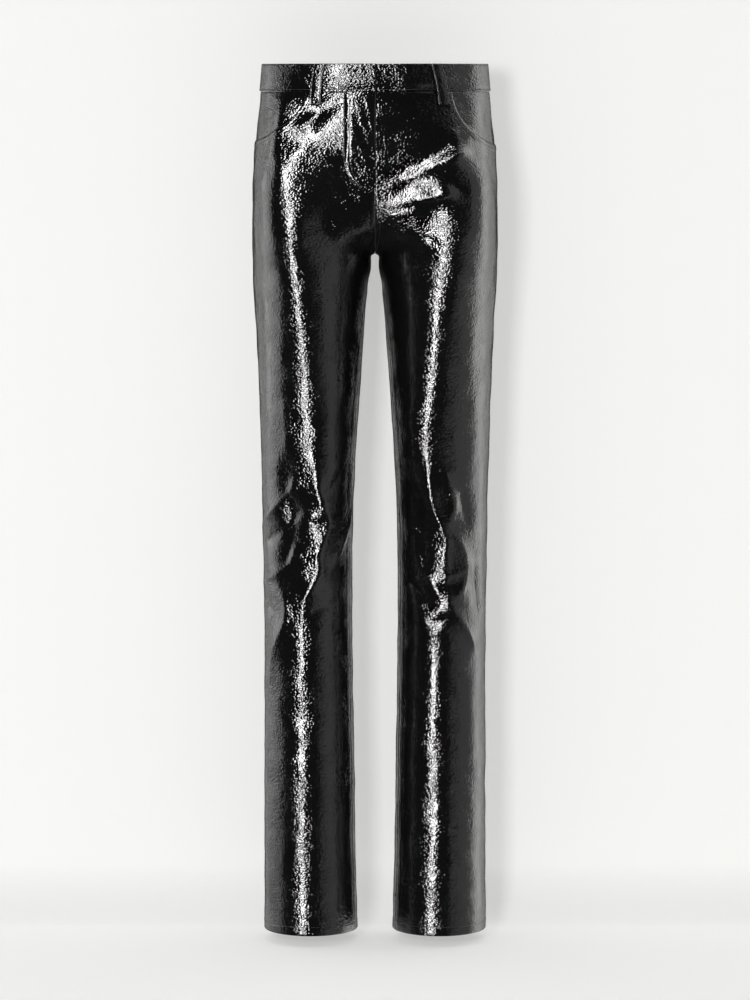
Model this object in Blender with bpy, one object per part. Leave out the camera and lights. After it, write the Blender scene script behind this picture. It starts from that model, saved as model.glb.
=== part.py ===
"""Vinyl straight-leg trousers, filled out and hollow, held up at the waist.

Lengths are metres. The origin is the centre of the waist's top edge, +Z is up, the front
faces -Y, and the wearer's left leg is at +X. Every cloth wall follows one smooth surface, which
is read at an angle round the leg and at a drop below the waist:

    angle 0    the inside of the leg, or the centre line of the body above the crotch
    angle 90   the middle of the front
    angle 180  the outside of the leg
    angle 270  the middle of the back
"""

import math

import bmesh
import bpy
from mathutils import Vector

# ---------------------------------------------------------------- driving dimensions
OUTSEAM = 1.080            # waist edge to hem along the side
CROTCH_DROP = 0.236        # waist edge to the crotch point
WAISTBAND_HEIGHT = 0.034
WAISTBAND_THICKNESS = 0.0030
WAISTBAND_PROUD = 0.0010   # how far the band stands out of the panels below it
CLOTH = 0.0016             # wall of the panels
HEM_DEPTH = 0.012          # turned-up edge
HEM_THICKNESS = 0.0026
SEAM_GAP = 0.0003          # between neighbouring pieces
SIDE_SEAM_ANGLE = math.radians(184.5)

CROTCH_CURVE = 0.035       # height over which the centre seam turns under the body
BODY_HEIGHT = 0.200        # above this height over the crotch the legs are one body
ARCH_RADIUS = 0.003        # rounding of the arch between the legs
ARCH_WIDTH = 0.0055        # half width of that arch
ARCH_FADE = 0.050          # depth below the crotch over which the arch opens into the legs
ARCH_SPREAD = 0.35         # radians round the inside of the leg that the arch reaches
VALLEY_FLANK = 0.042       # width of each flank of the hollow between the thighs

# One row for each level: half widths seen from the front, depths seen from the side.
# The front stands out most at crest_x; square fills its outer corner, and valley is the depth of
# the hollow between the thighs.
SECTION_COLUMNS = (
    "drop", "side_x", "inner_x", "front_y", "back_y", "side_y", "inseam_deg",
    "crest_x", "square", "valley",
)
SECTIONS = (
    (0.000, 0.1392, 0.0000, -0.0950, 0.0950, 0.000, 0.0, 0.0000, 0.00, 0.0000),
    (0.034, 0.1418, 0.0000, -0.0985, 0.1020, 0.002, 0.0, 0.0020, 0.06, 0.0000),
    (0.070, 0.1454, 0.0000, -0.1020, 0.1140, 0.005, 0.0, 0.0040, 0.34, 0.0000),
    (0.105, 0.1495, 0.0000, -0.1040, 0.1260, 0.008, 0.0, 0.0200, 0.42, 0.0000),
    (0.128, 0.1508, 0.0000, -0.1047, 0.1315, 0.010, 0.0, 0.0580, 0.45, 0.0020),
    (0.150, 0.1517, 0.0000, -0.1050, 0.1355, 0.012, 0.0, 0.0800, 0.42, 0.0040),
    (0.190, 0.1522, 0.0000, -0.1045, 0.1375, 0.015, 0.0, 0.0965, 0.30, 0.0075),
    (0.236, 0.1524, 0.0000, -0.1005, 0.1290, 0.017, 0.0, 0.0935, 0.14, 0.0060),
    (0.252, 0.1521, 0.0014, -0.0988, 0.1238, 0.017, 2.0, 0.0905, 0.08, 0.0040),
    (0.275, 0.1512, 0.0080, -0.0960, 0.1165, 0.016, 5.5, 0.0880, 0.03, 0.0020),
    (0.320, 0.1481, 0.0125, -0.0915, 0.1050, 0.012, 12.0, 0.0850, 0.00, 0.0000),
    (0.370, 0.1458, 0.0161, -0.0870, 0.0955, 0.009, 17.0, 0.0803, 0.00, 0.0000),
    (0.420, 0.1438, 0.0195, -0.0825, 0.0880, 0.006, 19.0, 0.0735, 0.00, 0.0000),
    (0.480, 0.1421, 0.0234, -0.0778, 0.0810, 0.004, 20.0, 0.0705, 0.00, 0.0000),
    (0.540, 0.1404, 0.0265, -0.0738, 0.0758, 0.002, 20.0, 0.0738, 0.00, 0.0000),
    (0.600, 0.1396, 0.0277, -0.0710, 0.0735, 0.001, 20.0, 0.0790, 0.00, 0.0000),
    (0.670, 0.1385, 0.0282, -0.0690, 0.0745, 0.001, 20.0, 0.0834, 0.00, 0.0000),
    (0.770, 0.1379, 0.0274, -0.0675, 0.0745, 0.001, 20.0, 0.0827, 0.00, 0.0000),
    (0.870, 0.1380, 0.0256, -0.0675, 0.0725, 0.000, 20.0, 0.0818, 0.00, 0.0000),
    (0.970, 0.1383, 0.0244, -0.0685, 0.0710, 0.000, 20.0, 0.0814, 0.00, 0.0000),
    (1.080, 0.1386, 0.0218, -0.0700, 0.0705, 0.000, 20.0, 0.0802, 0.00, 0.0000),
)

# ---------------------------------------------------------------- pockets, fly and loops
POCKET_SQUARENESS = 2.5    # exponent of the curved pocket mouth
POCKET_TOP_DROP = 0.030    # level of the mouth's upright tangent
POCKET_RECESS = 0.0010     # the facing lies this far inside the front panel
POCKET_COLUMNS = ("side", "reach_deg", "depth")
POCKETS = (
    ("right", 57.5, 0.0645),
    ("left", 52.5, 0.0695),
)

FLY_WIDTH = 0.0360
FLY_BOTTOM_DROP = 0.1560
FLY_ROUND = 0.042          # height of the J's curved foot
FLY_OVERLAP = 0.0010       # the flap's front edge past the centre line
FLY_THICKNESS = 0.0010
FLY_LIFT = 0.0005          # the flap's clearance over the two fronts
UNDERLAP = 0.030           # the left band under the right one
UNDERLAP_RAMP = 0.006
UNDERLAP_GAP = 0.0005      # the flat facets of the two layers stay clear of each other

LOOP_WIDTH = 0.0145
LOOP_THICKNESS = 0.0016
LOOP_TOP_DROP = 0.0008
LOOP_BOTTOM_DROP = 0.0505
LOOP_GAP = 0.0024          # slack behind the middle of a loop
LOOP_COLUMNS = ("node", "side", "top_deg", "bottom_deg")
LOOPS = (
    ("belt_loop_front_right", "right", 119.0, 120.5),
    ("belt_loop_front_left", "left", 122.5, 126.0),
    ("belt_loop_back_right", "right", 222.0, 222.0),
    ("belt_loop_back_left", "left", 222.0, 222.0),
    ("belt_loop_centre_back", "left", 270.0, 270.0),
)

# ---------------------------------------------------------------- how finely pieces are cut up
COLUMNS = 13
POCKET_CURVE_COLUMNS = 8
PANEL_TOP_ROWS = 5
PANEL_TOP_END = 0.118
LOWER_ROWS = (
    0.118, 0.136, 0.153, 0.170, 0.186, 0.200, 0.212, 0.221, 0.229, 0.236,
    0.238, 0.242, 0.250, 0.262, 0.280, 0.302, 0.326, 0.350, 0.375, 0.400,
    0.422, 0.442, 0.460, 0.478, 0.496, 0.514, 0.532, 0.550, 0.568, 0.586,
    0.604, 0.622, 0.640, 0.660, 0.682, 0.710, 0.745, 0.790, 0.840, 0.895,
    0.950, 1.005, 1.050, OUTSEAM - HEM_DEPTH, OUTSEAM,
)

SIGNS = {"right": -1.0, "left": 1.0}


# ---------------------------------------------------------------- tables
def read_table(rows, columns, name, drop):
    """Smooth value of one column at a drop (a cubic through the rows)."""
    column = columns.index(name)
    last = len(rows) - 1
    if drop <= rows[0][0]:
        return rows[0][column]
    if drop >= rows[last][0]:
        return rows[last][column]
    place = 0
    while rows[place + 1][0] < drop:
        place += 1

    def slope(index):
        low = max(index - 1, 0)
        high = min(index + 1, last)
        return (rows[high][column] - rows[low][column]) / (rows[high][0] - rows[low][0])

    start = rows[place]
    end = rows[place + 1]
    span = end[0] - start[0]
    t = (drop - start[0]) / span
    rise = end[column] - start[column]
    slope_start = slope(place) * span
    slope_end = slope(place + 1) * span
    if rise == 0.0:
        slope_start = 0.0
        slope_end = 0.0
    bend = slope_start * t * (1 - t) ** 2 - slope_end * t ** 2 * (1 - t)
    return start[column] + rise * (3 * t ** 2 - 2 * t ** 3) + bend


def section_value(name, drop):
    return read_table(SECTIONS, SECTION_COLUMNS, name, drop)


# ---------------------------------------------------------------- the cloth's surface
def merging(drop):
    """1 where the leg is a full ring, falling to 0 where both legs are one body."""
    height = CROTCH_DROP - drop
    if height <= 0.0:
        return 1.0
    if height >= BODY_HEIGHT:
        return 0.0
    fade = 1.0 - (height / BODY_HEIGHT) ** 2
    return fade / (1.0 + (height / CROTCH_CURVE) ** 2)


def arch(drop):
    """How far the arch under the crotch pushes the insides of the legs apart."""
    below = drop - CROTCH_DROP
    if below <= 0.0 or below >= ARCH_FADE:
        return 0.0
    near = 1.0 - min(below / ARCH_RADIUS, 1.0)
    return ARCH_WIDTH * math.sqrt(1.0 - near ** 2) * (1.0 - below / ARCH_FADE)


def ring(drop):
    """Centre and half width of the section seen from above, on the left side."""
    side_x = section_value("side_x", drop)
    if drop < CROTCH_DROP:
        clip = merging(drop)
        half = side_x / (1.0 + clip)
        return clip * half, half
    inner_x = section_value("inner_x", drop)
    return (side_x + inner_x) / 2, (side_x - inner_x) / 2


def start_angle(drop):
    """The angle of the centre seam above the crotch, or 0 below it."""
    if drop >= CROTCH_DROP:
        return 0.0
    return math.acos(merging(drop))


def front_bow(across, drop):
    """How far the front stands out at a distance from the centre, 1 at the thigh's crest."""
    across = abs(across)
    crest = section_value("crest_x", drop)
    if across >= crest:
        part = min((across - crest) / (section_value("side_x", drop) - crest), 1.0)
        return math.sqrt(1.0 - part ** 2) * (1.0 + section_value("square", drop) * part ** 2)
    if drop < CROTCH_DROP:
        reach = crest / max(merging(drop), 0.001)
    else:
        reach = crest - section_value("inner_x", drop)
    part = min((crest - across) / max(reach, 1e-6), 1.0)
    depth = section_value("side_y", drop) - section_value("front_y", drop)
    hollow = section_value("valley", drop) / depth * fade(crest - across, 0.0, VALLEY_FLANK)
    return math.sqrt(1.0 - part ** 2) * (1.0 - hollow)


def plain_point(angle, drop):
    """The surface without folds, on the left side."""
    centre, half = ring(drop)
    side_y = section_value("side_y", drop)
    if math.sin(angle) >= 0.0:
        across = centre - half * math.cos(angle)
        out = -(side_y - section_value("front_y", drop)) * front_bow(across, drop)
    else:
        out = -(section_value("back_y", drop) - side_y) * math.sin(angle)
    turn = min(abs(angle), abs(2 * math.pi - angle))
    spread = arch(drop) * math.exp(-(turn / ARCH_SPREAD) ** 2)
    x = SEAM_GAP / 2 + centre - half * math.cos(angle) + spread
    return Vector((x, side_y + out, -drop))


# ---------------------------------------------------------------- the largest folds
# Each fold is a soft ridge (height above 0) or trough (below 0) between two points of the cloth.
FOLD_COLUMNS = ("side", "angle_1", "drop_1", "angle_2", "drop_2", "width", "height")
FOLDS = (
    # drag folds from the fly across the left hip, and one under the right pocket
    ("left", 97, 0.158, 116, 0.118, 0.013, 0.0030),
    ("left", 95, 0.172, 122, 0.135, 0.012, 0.0026),
    ("left", 100, 0.140, 118, 0.098, 0.010, -0.0016),
    ("right", 130, 0.080, 114, 0.052, 0.011, -0.0024),
    ("right", 128, 0.108, 114, 0.084, 0.012, 0.0020),
    # soft rings over the thighs
    ("right", 60, 0.205, 100, 0.182, 0.012, 0.0014),
    ("left", 100, 0.262, 150, 0.250, 0.014, 0.0014),
    # right knee, front and outside
    ("right", 98, 0.500, 160, 0.572, 0.013, 0.0050),
    ("right", 90, 0.540, 150, 0.600, 0.011, -0.0036),
    ("right", 95, 0.578, 160, 0.634, 0.013, 0.0046),
    ("right", 120, 0.640, 84, 0.690, 0.013, 0.0036),
    ("right", 40, 0.485, 62, 0.600, 0.012, 0.0032),
    ("right", 62, 0.600, 92, 0.655, 0.012, 0.0026),
    # left knee, front and outside
    ("left", 92, 0.512, 116, 0.570, 0.013, 0.0048),
    ("left", 116, 0.570, 150, 0.545, 0.013, 0.0036),
    ("left", 84, 0.610, 114, 0.660, 0.013, 0.0046),
    ("left", 114, 0.660, 152, 0.700, 0.013, 0.0034),
    ("left", 118, 0.612, 156, 0.618, 0.012, -0.0030),
    ("left", 48, 0.560, 88, 0.640, 0.012, 0.0026),
    # backs of the knees
    ("right", 232, 0.520, 300, 0.548, 0.014, 0.0042),
    ("right", 240, 0.584, 318, 0.560, 0.014, 0.0044),
    ("right", 226, 0.628, 292, 0.648, 0.014, 0.0036),
    ("left", 236, 0.532, 306, 0.516, 0.014, 0.0042),
    ("left", 228, 0.572, 300, 0.594, 0.014, 0.0046),
    ("left", 244, 0.650, 306, 0.634, 0.014, 0.0034),
    # under the seat
    ("right", 254, 0.276, 300, 0.262, 0.013, 0.0026),
    ("right", 246, 0.312, 304, 0.296, 0.013, 0.0020),
    ("left", 250, 0.268, 298, 0.274, 0.013, 0.0026),
    ("left", 244, 0.318, 300, 0.300, 0.013, 0.0020),
)
FOLD_KEEP_CLEAR = 0.030    # folds fade out this near the hem
FOLD_TOP = 0.040           # and above this drop, under the band
FOLD_BLEND = 0.035


def fade(value, start, end):
    """0 at start, 1 at end, smooth between."""
    t = min(max((value - start) / (end - start), 0.0), 1.0)
    return t * t * (3 - 2 * t)


def fold_height(side, angle, drop):
    """Height of all folds of one leg at a point of its cloth."""
    centre, half = ring(drop)
    radius = (half + 0.5 * (section_value("back_y", drop) - section_value("front_y", drop))) / 2
    total = 0.0
    for row in FOLDS:
        fold = dict(zip(FOLD_COLUMNS, row))
        if fold["side"] != side:
            continue
        start = Vector((math.radians(fold["angle_1"]) * radius, fold["drop_1"]))
        end = Vector((math.radians(fold["angle_2"]) * radius, fold["drop_2"]))
        point = Vector((angle * radius, drop))
        along = (point - start).dot(end - start) / (end - start).length_squared
        along = min(max(along, 0.0), 1.0)
        distance = (point - start.lerp(end, along)).length
        swell = 0.35 + 0.65 * math.sin(math.pi * along)
        total += fold["height"] * swell * math.exp(-(distance / fold["width"]) ** 2)
    total *= fade(drop, FOLD_TOP, FOLD_TOP + FOLD_BLEND)
    return total * fade(OUTSEAM - drop, 0.0, FOLD_KEEP_CLEAR)


def plain_normal(angle, drop):
    step_angle = 0.01
    step_drop = 0.002
    around = plain_point(angle + step_angle, drop) - plain_point(angle - step_angle, drop)
    low = min(drop + step_drop, OUTSEAM)
    high = max(drop - step_drop, 0.0)
    if low > CROTCH_DROP > high:
        # the section changes its kind at the crotch, so the slope is read on one side of it
        high = max(high, CROTCH_DROP) if drop >= CROTCH_DROP else high
        low = min(low, CROTCH_DROP - 1e-6) if drop < CROTCH_DROP else low
    down = plain_point(angle, low) - plain_point(angle, high)
    return down.cross(around).normalized()


def cloth_point(side, angle, drop, out=0.0):
    """A point of the folded surface, moved out of it by `out`, on the wearer's named side."""
    fold = fold_height(side, angle, drop)
    point = plain_point(angle, drop) + plain_normal(angle, drop) * (fold + out)
    point.x = max(point.x, SEAM_GAP / 2)
    return Vector((point.x * SIGNS[side], point.y, point.z))


def angle_step(angle, drop, length):
    """The turn that moves a point of the cloth by a length round the leg."""
    step = 0.01
    speed = (plain_point(angle + step, drop) - plain_point(angle - step, drop)).length / (2 * step)
    return length / speed


def even_angles(start, end, drop, cells):
    """Angles that cut a level of the cloth into equal lengths."""
    samples = 60
    angles = [start + (end - start) * index / samples for index in range(samples + 1)]
    lengths = [0.0]
    for before, after in zip(angles, angles[1:]):
        step = (plain_point(after, drop) - plain_point(before, drop)).length
        lengths.append(lengths[-1] + step)
    result = []
    place = 0
    for index in range(cells + 1):
        wanted = lengths[-1] * index / cells
        while place < samples - 1 and lengths[place + 1] < wanted:
            place += 1
        part = (wanted - lengths[place]) / (lengths[place + 1] - lengths[place])
        result.append(angles[place] + (angles[place + 1] - angles[place]) * part)
    return result


# ---------------------------------------------------------------- solids
def vinyl(name, colour, roughness):
    material = bpy.data.materials.new(name)
    material.use_nodes = True
    shader = material.node_tree.nodes["Principled BSDF"]
    shader.inputs["Base Color"].default_value = (*colour, 1.0)
    shader.inputs["Roughness"].default_value = roughness
    shader.inputs["Metallic"].default_value = 0.0
    return material


def closed_wall(name, outside, inside, material):
    """A closed solid between two grids of points with the same rows and columns."""
    rows = len(outside)
    columns = len(outside[0])
    mesh = bmesh.new()
    outer = [[mesh.verts.new(point) for point in row] for row in outside]
    inner = [[mesh.verts.new(point) for point in row] for row in inside]
    for row in range(rows - 1):
        for column in range(columns - 1):
            corners = ((row, column), (row + 1, column), (row + 1, column + 1), (row, column + 1))
            mesh.faces.new([outer[r][c] for r, c in corners])
            mesh.faces.new([inner[r][c] for r, c in reversed(corners)])
    rim = [(0, column) for column in range(columns)]
    rim += [(row, columns - 1) for row in range(1, rows)]
    rim += [(rows - 1, column) for column in range(columns - 2, -1, -1)]
    rim += [(row, 0) for row in range(rows - 2, 0, -1)]
    for here, there in zip(rim, rim[1:] + rim[:1]):
        mesh.faces.new((
            outer[here[0]][here[1]],
            outer[there[0]][there[1]],
            inner[there[0]][there[1]],
            inner[here[0]][here[1]],
        ))
    bmesh.ops.remove_doubles(mesh, verts=mesh.verts, dist=0.00002)
    bmesh.ops.dissolve_degenerate(mesh, edges=mesh.edges, dist=0.00001)
    bmesh.ops.recalc_face_normals(mesh, faces=mesh.faces)
    if mesh.calc_volume(signed=True) < 0.0:
        bmesh.ops.reverse_faces(mesh, faces=mesh.faces)
    data = bpy.data.meshes.new(name)
    mesh.to_mesh(data)
    mesh.free()
    data.materials.append(material)
    data.shade_smooth()
    data.set_sharp_from_angle(angle=math.radians(50))
    solid = bpy.data.objects.new(name, data)
    bpy.context.scene.collection.objects.link(solid)
    return solid


def cloth_wall(name, side, places, material, out=0.0, thickness=CLOTH):
    """A wall on the cloth. Places are rows of (angle, drop), or (angle, drop, out, thickness)."""
    outside = []
    inside = []
    for row in places:
        full = [place if len(place) == 4 else (*place, out, thickness) for place in row]
        outside.append([cloth_point(side, a, d, o) for a, d, o, t in full])
        inside.append([cloth_point(side, a, d, o - t) for a, d, o, t in full])
    return closed_wall(name, outside, inside, material)


# ---------------------------------------------------------------- front and back panels
def hem_wall(drop):
    if drop > OUTSEAM - HEM_DEPTH - 0.001:
        return HEM_THICKNESS
    return CLOTH


def seam_angles(drop, face):
    """First and last angle of the front or back panel at a level, half a gap off each seam."""
    gap = SEAM_GAP / 2
    side = SIDE_SEAM_ANGLE
    if drop < CROTCH_DROP:
        inner_front = start_angle(drop)
        inner_back = 2 * math.pi - inner_front
    else:
        inseam = math.radians(section_value("inseam_deg", drop))
        inner_front = inseam + angle_step(inseam, drop, gap)
        inner_back = 2 * math.pi + inseam - angle_step(inseam, drop, gap)
    if face == "front":
        return inner_front, side - angle_step(side, drop, gap)
    return side + angle_step(side, drop, gap), inner_back


def pocket_mouth(side, inset, turns):
    """Points (angle, drop) of the pocket mouth from the band down to the side seam."""
    reach_deg, depth = next(row[1:] for row in POCKETS if row[0] == side)
    top = WAISTBAND_HEIGHT + SEAM_GAP / 2
    depth = depth - inset
    end = seam_angles(top, "front")[1]
    power = 2 / POCKET_SQUARENESS
    first = math.asin(((top - POCKET_TOP_DROP) / depth) ** (1 / power))
    points = []
    for index in range(turns + 1):
        turn = first + (math.pi / 2 - first) * index / turns
        drop = POCKET_TOP_DROP + depth * math.sin(turn) ** power
        reach = math.radians(reach_deg) - angle_step(math.radians(130), drop, inset)
        points.append((end - reach * max(math.cos(turn), 0.0) ** power, drop))
    return points


def panel_top(side):
    """Rows of a front panel from the band and the pocket mouth down to the first full level."""
    mouth = pocket_mouth(side, 0.0, POCKET_CURVE_COLUMNS)
    top = WAISTBAND_HEIGHT + SEAM_GAP / 2
    first = seam_angles(top, "front")[0]
    straight = even_angles(first, mouth[0][0], top, COLUMNS - POCKET_CURVE_COLUMNS)
    upper = [(angle, top) for angle in straight[:-1]] + mouth
    lower = [
        (angle, PANEL_TOP_END)
        for angle in even_angles(*seam_angles(PANEL_TOP_END, "front"), PANEL_TOP_END, COLUMNS)
    ]
    rows = []
    for index in range(PANEL_TOP_ROWS):
        part = index / PANEL_TOP_ROWS
        rows.append([
            (high[0] + (low[0] - high[0]) * part, high[1] + (low[1] - high[1]) * part)
            for high, low in zip(upper, lower)
        ])
    return rows


def full_rows(drops, face):
    rows = []
    for drop in drops:
        angles = even_angles(*seam_angles(drop, face), drop, COLUMNS)
        rows.append([(angle, drop, 0.0, hem_wall(drop)) for angle in angles])
    return rows


def front_panel(side, material):
    places = panel_top(side) + full_rows(LOWER_ROWS, "front")
    return cloth_wall(f"front_{side}", side, places, material)


def back_panel(side, material):
    top = WAISTBAND_HEIGHT + SEAM_GAP / 2
    upper = [top + (PANEL_TOP_END - top) * index / PANEL_TOP_ROWS for index in range(PANEL_TOP_ROWS)]
    return cloth_wall(f"back_{side}", side, full_rows(upper + list(LOWER_ROWS), "back"), material)


def pocket_facing(side, material):
    """The cloth behind the pocket mouth, up to the band and back to the side seam."""
    turns = POCKET_CURVE_COLUMNS
    mouth = pocket_mouth(side, SEAM_GAP, turns)
    top = WAISTBAND_HEIGHT + SEAM_GAP / 2
    end = mouth[-1]
    corner = (end[0], top)
    start = (mouth[0][0], top)
    mouth[0] = start
    border = []
    for index in range(turns + 1):
        part = 2 * index / turns
        if part <= 1.0:
            border.append((start[0] + (corner[0] - start[0]) * part, top))
        else:
            border.append((corner[0], top + (end[1] - top) * (part - 1.0)))
    rows = []
    steps = 4
    for step in range(steps + 1):
        part = step / steps
        recess = POCKET_RECESS * (1 - part)
        rows.append([
            (low[0] + (high[0] - low[0]) * part, low[1] + (high[1] - low[1]) * part, -recess, CLOTH)
            for low, high in zip(mouth, border)
        ])
    return cloth_wall(f"pocket_facing_{side}", side, rows, material)


# ---------------------------------------------------------------- waistband
def band_point(turn, drop, out):
    """A point of the band at a turn from the centre front, below 0 on the right side."""
    side = "left" if turn >= 0.0 else "right"
    angle = math.pi / 2 + abs(turn)
    point = plain_point(angle, drop) + plain_normal(angle, drop) * out
    return Vector((point.x * SIGNS[side], point.y, point.z))


def waistbands(material):
    """Two halves. The right one laps over the left one at the centre front."""
    drops = (0.0, WAISTBAND_HEIGHT / 2, WAISTBAND_HEIGHT - SEAM_GAP / 2)
    lap = angle_step(math.pi / 2, 0.0, FLY_OVERLAP)
    cells = 26
    around = even_angles(math.pi / 2, 3 * math.pi / 2, 0.0, cells)
    right = [-(angle - math.pi / 2) for angle in reversed(around)][:-1] + [lap]
    outside = [[band_point(turn, drop, WAISTBAND_PROUD) for turn in right] for drop in drops]
    inner = WAISTBAND_PROUD - WAISTBAND_THICKNESS
    inside = [[band_point(turn, drop, inner) for turn in right] for drop in drops]
    closed_wall("waistband_right", outside, inside, material)

    under = WAISTBAND_PROUD - WAISTBAND_THICKNESS - UNDERLAP_GAP
    ramp = angle_step(math.pi / 2, 0.0, UNDERLAP_RAMP)
    reach = angle_step(math.pi / 2, 0.0, UNDERLAP)
    clear = lap + angle_step(math.pi / 2, 0.0, 2 * SEAM_GAP)
    left = [(-reach * step / 5, under) for step in (5, 4, 3, 2, 1)] + [(clear, under)]
    left += [(clear + ramp, WAISTBAND_PROUD)]
    for angle in around[1:]:
        turn = angle - math.pi / 2
        if turn > clear + 1.5 * ramp:
            left.append((turn, WAISTBAND_PROUD))
    outside = [[band_point(turn, drop, out) for turn, out in left] for drop in drops]
    inside = [
        [band_point(turn, drop, out - WAISTBAND_THICKNESS) for turn, out in left] for drop in drops
    ]
    closed_wall("waistband_left", outside, inside, material)


# ---------------------------------------------------------------- fly flap and belt loops
def fly_flap(material):
    """The J-shaped flap over the centre front, made from the panels' points moved out."""
    top = WAISTBAND_HEIGHT + SEAM_GAP
    drops = [top + (FLY_BOTTOM_DROP - FLY_ROUND - top) * index / 6 for index in range(6)]
    foot = 8
    for index in range(foot + 1):
        drops.append(FLY_BOTTOM_DROP - FLY_ROUND * math.cos(math.pi / 2 * index / foot))
    outside = []
    inside = []
    cells = 4
    for drop in drops:
        down = max((drop - (FLY_BOTTOM_DROP - FLY_ROUND)) / FLY_ROUND, 0.0)
        width = FLY_WIDTH * math.sqrt(max(1.0 - down ** 2, 0.0)) + 0.004
        outer_row = []
        inner_row = []
        for cell in range(cells + 1):
            x = FLY_OVERLAP - (width + FLY_OVERLAP) * cell / cells
            start = start_angle(drop)
            turn = start + angle_step(start, drop, abs(x))
            side = "right" if x < 0.0 else "left"
            outer_row.append(cloth_point(side, turn, drop, FLY_LIFT + FLY_THICKNESS))
            inner_row.append(cloth_point(side, turn, drop, FLY_LIFT))
        outside.append(outer_row)
        inside.append(inner_row)
    return closed_wall("fly_flap", outside, inside, material)


def belt_loop(name, side, top_deg, bottom_deg, material):
    """A sewn strip over the band. It is fixed at both ends and slack between them."""
    steps = 11
    cells = 3
    outside = []
    inside = []
    for step in range(steps + 1):
        part = step / steps
        drop = LOOP_TOP_DROP + (LOOP_BOTTOM_DROP - LOOP_TOP_DROP) * part
        middle = math.radians(top_deg + (bottom_deg - top_deg) * part)
        slack = LOOP_GAP * math.sin(math.pi * part) ** 1.5
        on_band = 1.0 - fade(drop, WAISTBAND_HEIGHT + 0.004, WAISTBAND_HEIGHT + 0.010)
        out = SEAM_GAP + slack + WAISTBAND_PROUD * on_band
        outer_row = []
        inner_row = []
        for cell in range(cells + 1):
            across = LOOP_WIDTH * (cell / cells - 0.5)
            turn = middle + angle_step(middle, drop, across)
            outer_row.append(loop_point(side, turn, drop, out + LOOP_THICKNESS))
            inner_row.append(loop_point(side, turn, drop, out))
        outside.append(outer_row)
        inside.append(inner_row)
    return closed_wall(name, outside, inside, material)


def loop_point(side, angle, drop, out):
    """A point over the band. It may cross the centre back, where the angle passes 270."""
    if angle > 3 * math.pi / 2 and drop < CROTCH_DROP:
        other = "right" if side == "left" else "left"
        return cloth_point(other, 3 * math.pi - angle, drop, out)
    return cloth_point(side, angle, drop, out)


# ---------------------------------------------------------------- the trousers
def build():
    for leftover in list(bpy.data.objects):
        bpy.data.objects.remove(leftover, do_unlink=True)
    patent = vinyl("patent_vinyl", (0.012, 0.012, 0.013), 0.16)
    facing = vinyl("patent_vinyl_facing", (0.012, 0.012, 0.013), 0.20)
    band = vinyl("patent_vinyl_band", (0.012, 0.012, 0.013), 0.18)
    for side in SIGNS:
        front_panel(side, patent)
        back_panel(side, patent)
        pocket_facing(side, facing)
    waistbands(band)
    fly_flap(patent)
    for name, side, top_deg, bottom_deg in LOOPS:
        belt_loop(name, side, top_deg, bottom_deg, band)


build()
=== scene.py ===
# %% [markdown]
# # Black patent vinyl trousers
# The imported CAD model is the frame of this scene. It fixes where the waist, the seams, the
# pockets and the hems are. Each cell below dresses one piece of it: vinyl sheets with their
# creases, the band, the loops and the sewing. Lengths are metres, the front faces -Y, and the
# wearer's right leg is at -X, on the left of the picture.

import math

import bpy
import numpy as np
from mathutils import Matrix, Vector, noise


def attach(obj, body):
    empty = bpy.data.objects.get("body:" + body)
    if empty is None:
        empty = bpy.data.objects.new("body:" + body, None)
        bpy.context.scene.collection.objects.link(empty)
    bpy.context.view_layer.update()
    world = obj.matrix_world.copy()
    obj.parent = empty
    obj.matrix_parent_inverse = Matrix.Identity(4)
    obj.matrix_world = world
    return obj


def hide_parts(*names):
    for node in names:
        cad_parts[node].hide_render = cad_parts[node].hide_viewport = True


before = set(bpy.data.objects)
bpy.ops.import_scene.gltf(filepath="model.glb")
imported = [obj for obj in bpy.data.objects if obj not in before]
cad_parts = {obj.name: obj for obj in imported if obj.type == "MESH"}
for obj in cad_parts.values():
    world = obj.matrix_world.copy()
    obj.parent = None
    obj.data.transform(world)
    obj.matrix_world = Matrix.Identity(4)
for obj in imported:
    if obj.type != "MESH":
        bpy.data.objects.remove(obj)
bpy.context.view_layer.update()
print("CAD nodes:", sorted(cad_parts))

# %% [markdown]
# ## The camera
# A catalogue picture of clothes is taken with a long lens from several metres away, so that the
# legs stay nearly parallel. Here it stands 6 m off, a little above the waist's edge, and looks
# down by 4.9 degrees, which opens the waist and the hems by the few pixels that show.

# %% Camera
PICTURE = (750, 1000)
LENS = 173.81
SENSOR = 36.0
FOCAL = LENS / SENSOR * PICTURE[1]     # focal length in pixels of the picture

camera_data = bpy.data.cameras.new("camera")
camera_data.lens = LENS
camera_data.sensor_width = SENSOR
camera = bpy.data.objects.new("camera", camera_data)
camera.location = (0.0, -6.0, -0.03)
camera.rotation_euler = (math.radians(90 - 4.875), 0.0, 0.0)
bpy.context.scene.collection.objects.link(camera)
bpy.context.scene.camera = camera
print("focal length:", round(FOCAL), "pixels")

# %% [markdown]
# ## Shader maths as Python
# A node tree is easier to read as a sum than as a heap of boxes. This class wraps one socket.
# Python's own operators on it add Math nodes, and short methods add what the finishes share.
# `add_node` makes any other node: its settings are set first, because they decide which sockets
# it has.


# %% Sockets that can be added and multiplied
def add_node(tree, kind, settings=None, inputs=None, output=0):
    """Adds a node, sets it up, feeds its sockets and gives one of its outputs."""
    node = tree.nodes.new(kind)
    for name, value in (settings or {}).items():
        setattr(node, name, value)
    for name, value in (inputs or {}).items():
        if isinstance(value, Wire):
            value.into(node.inputs[name])
        else:
            node.inputs[name].default_value = value
    return Wire(node.outputs[output])


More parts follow.
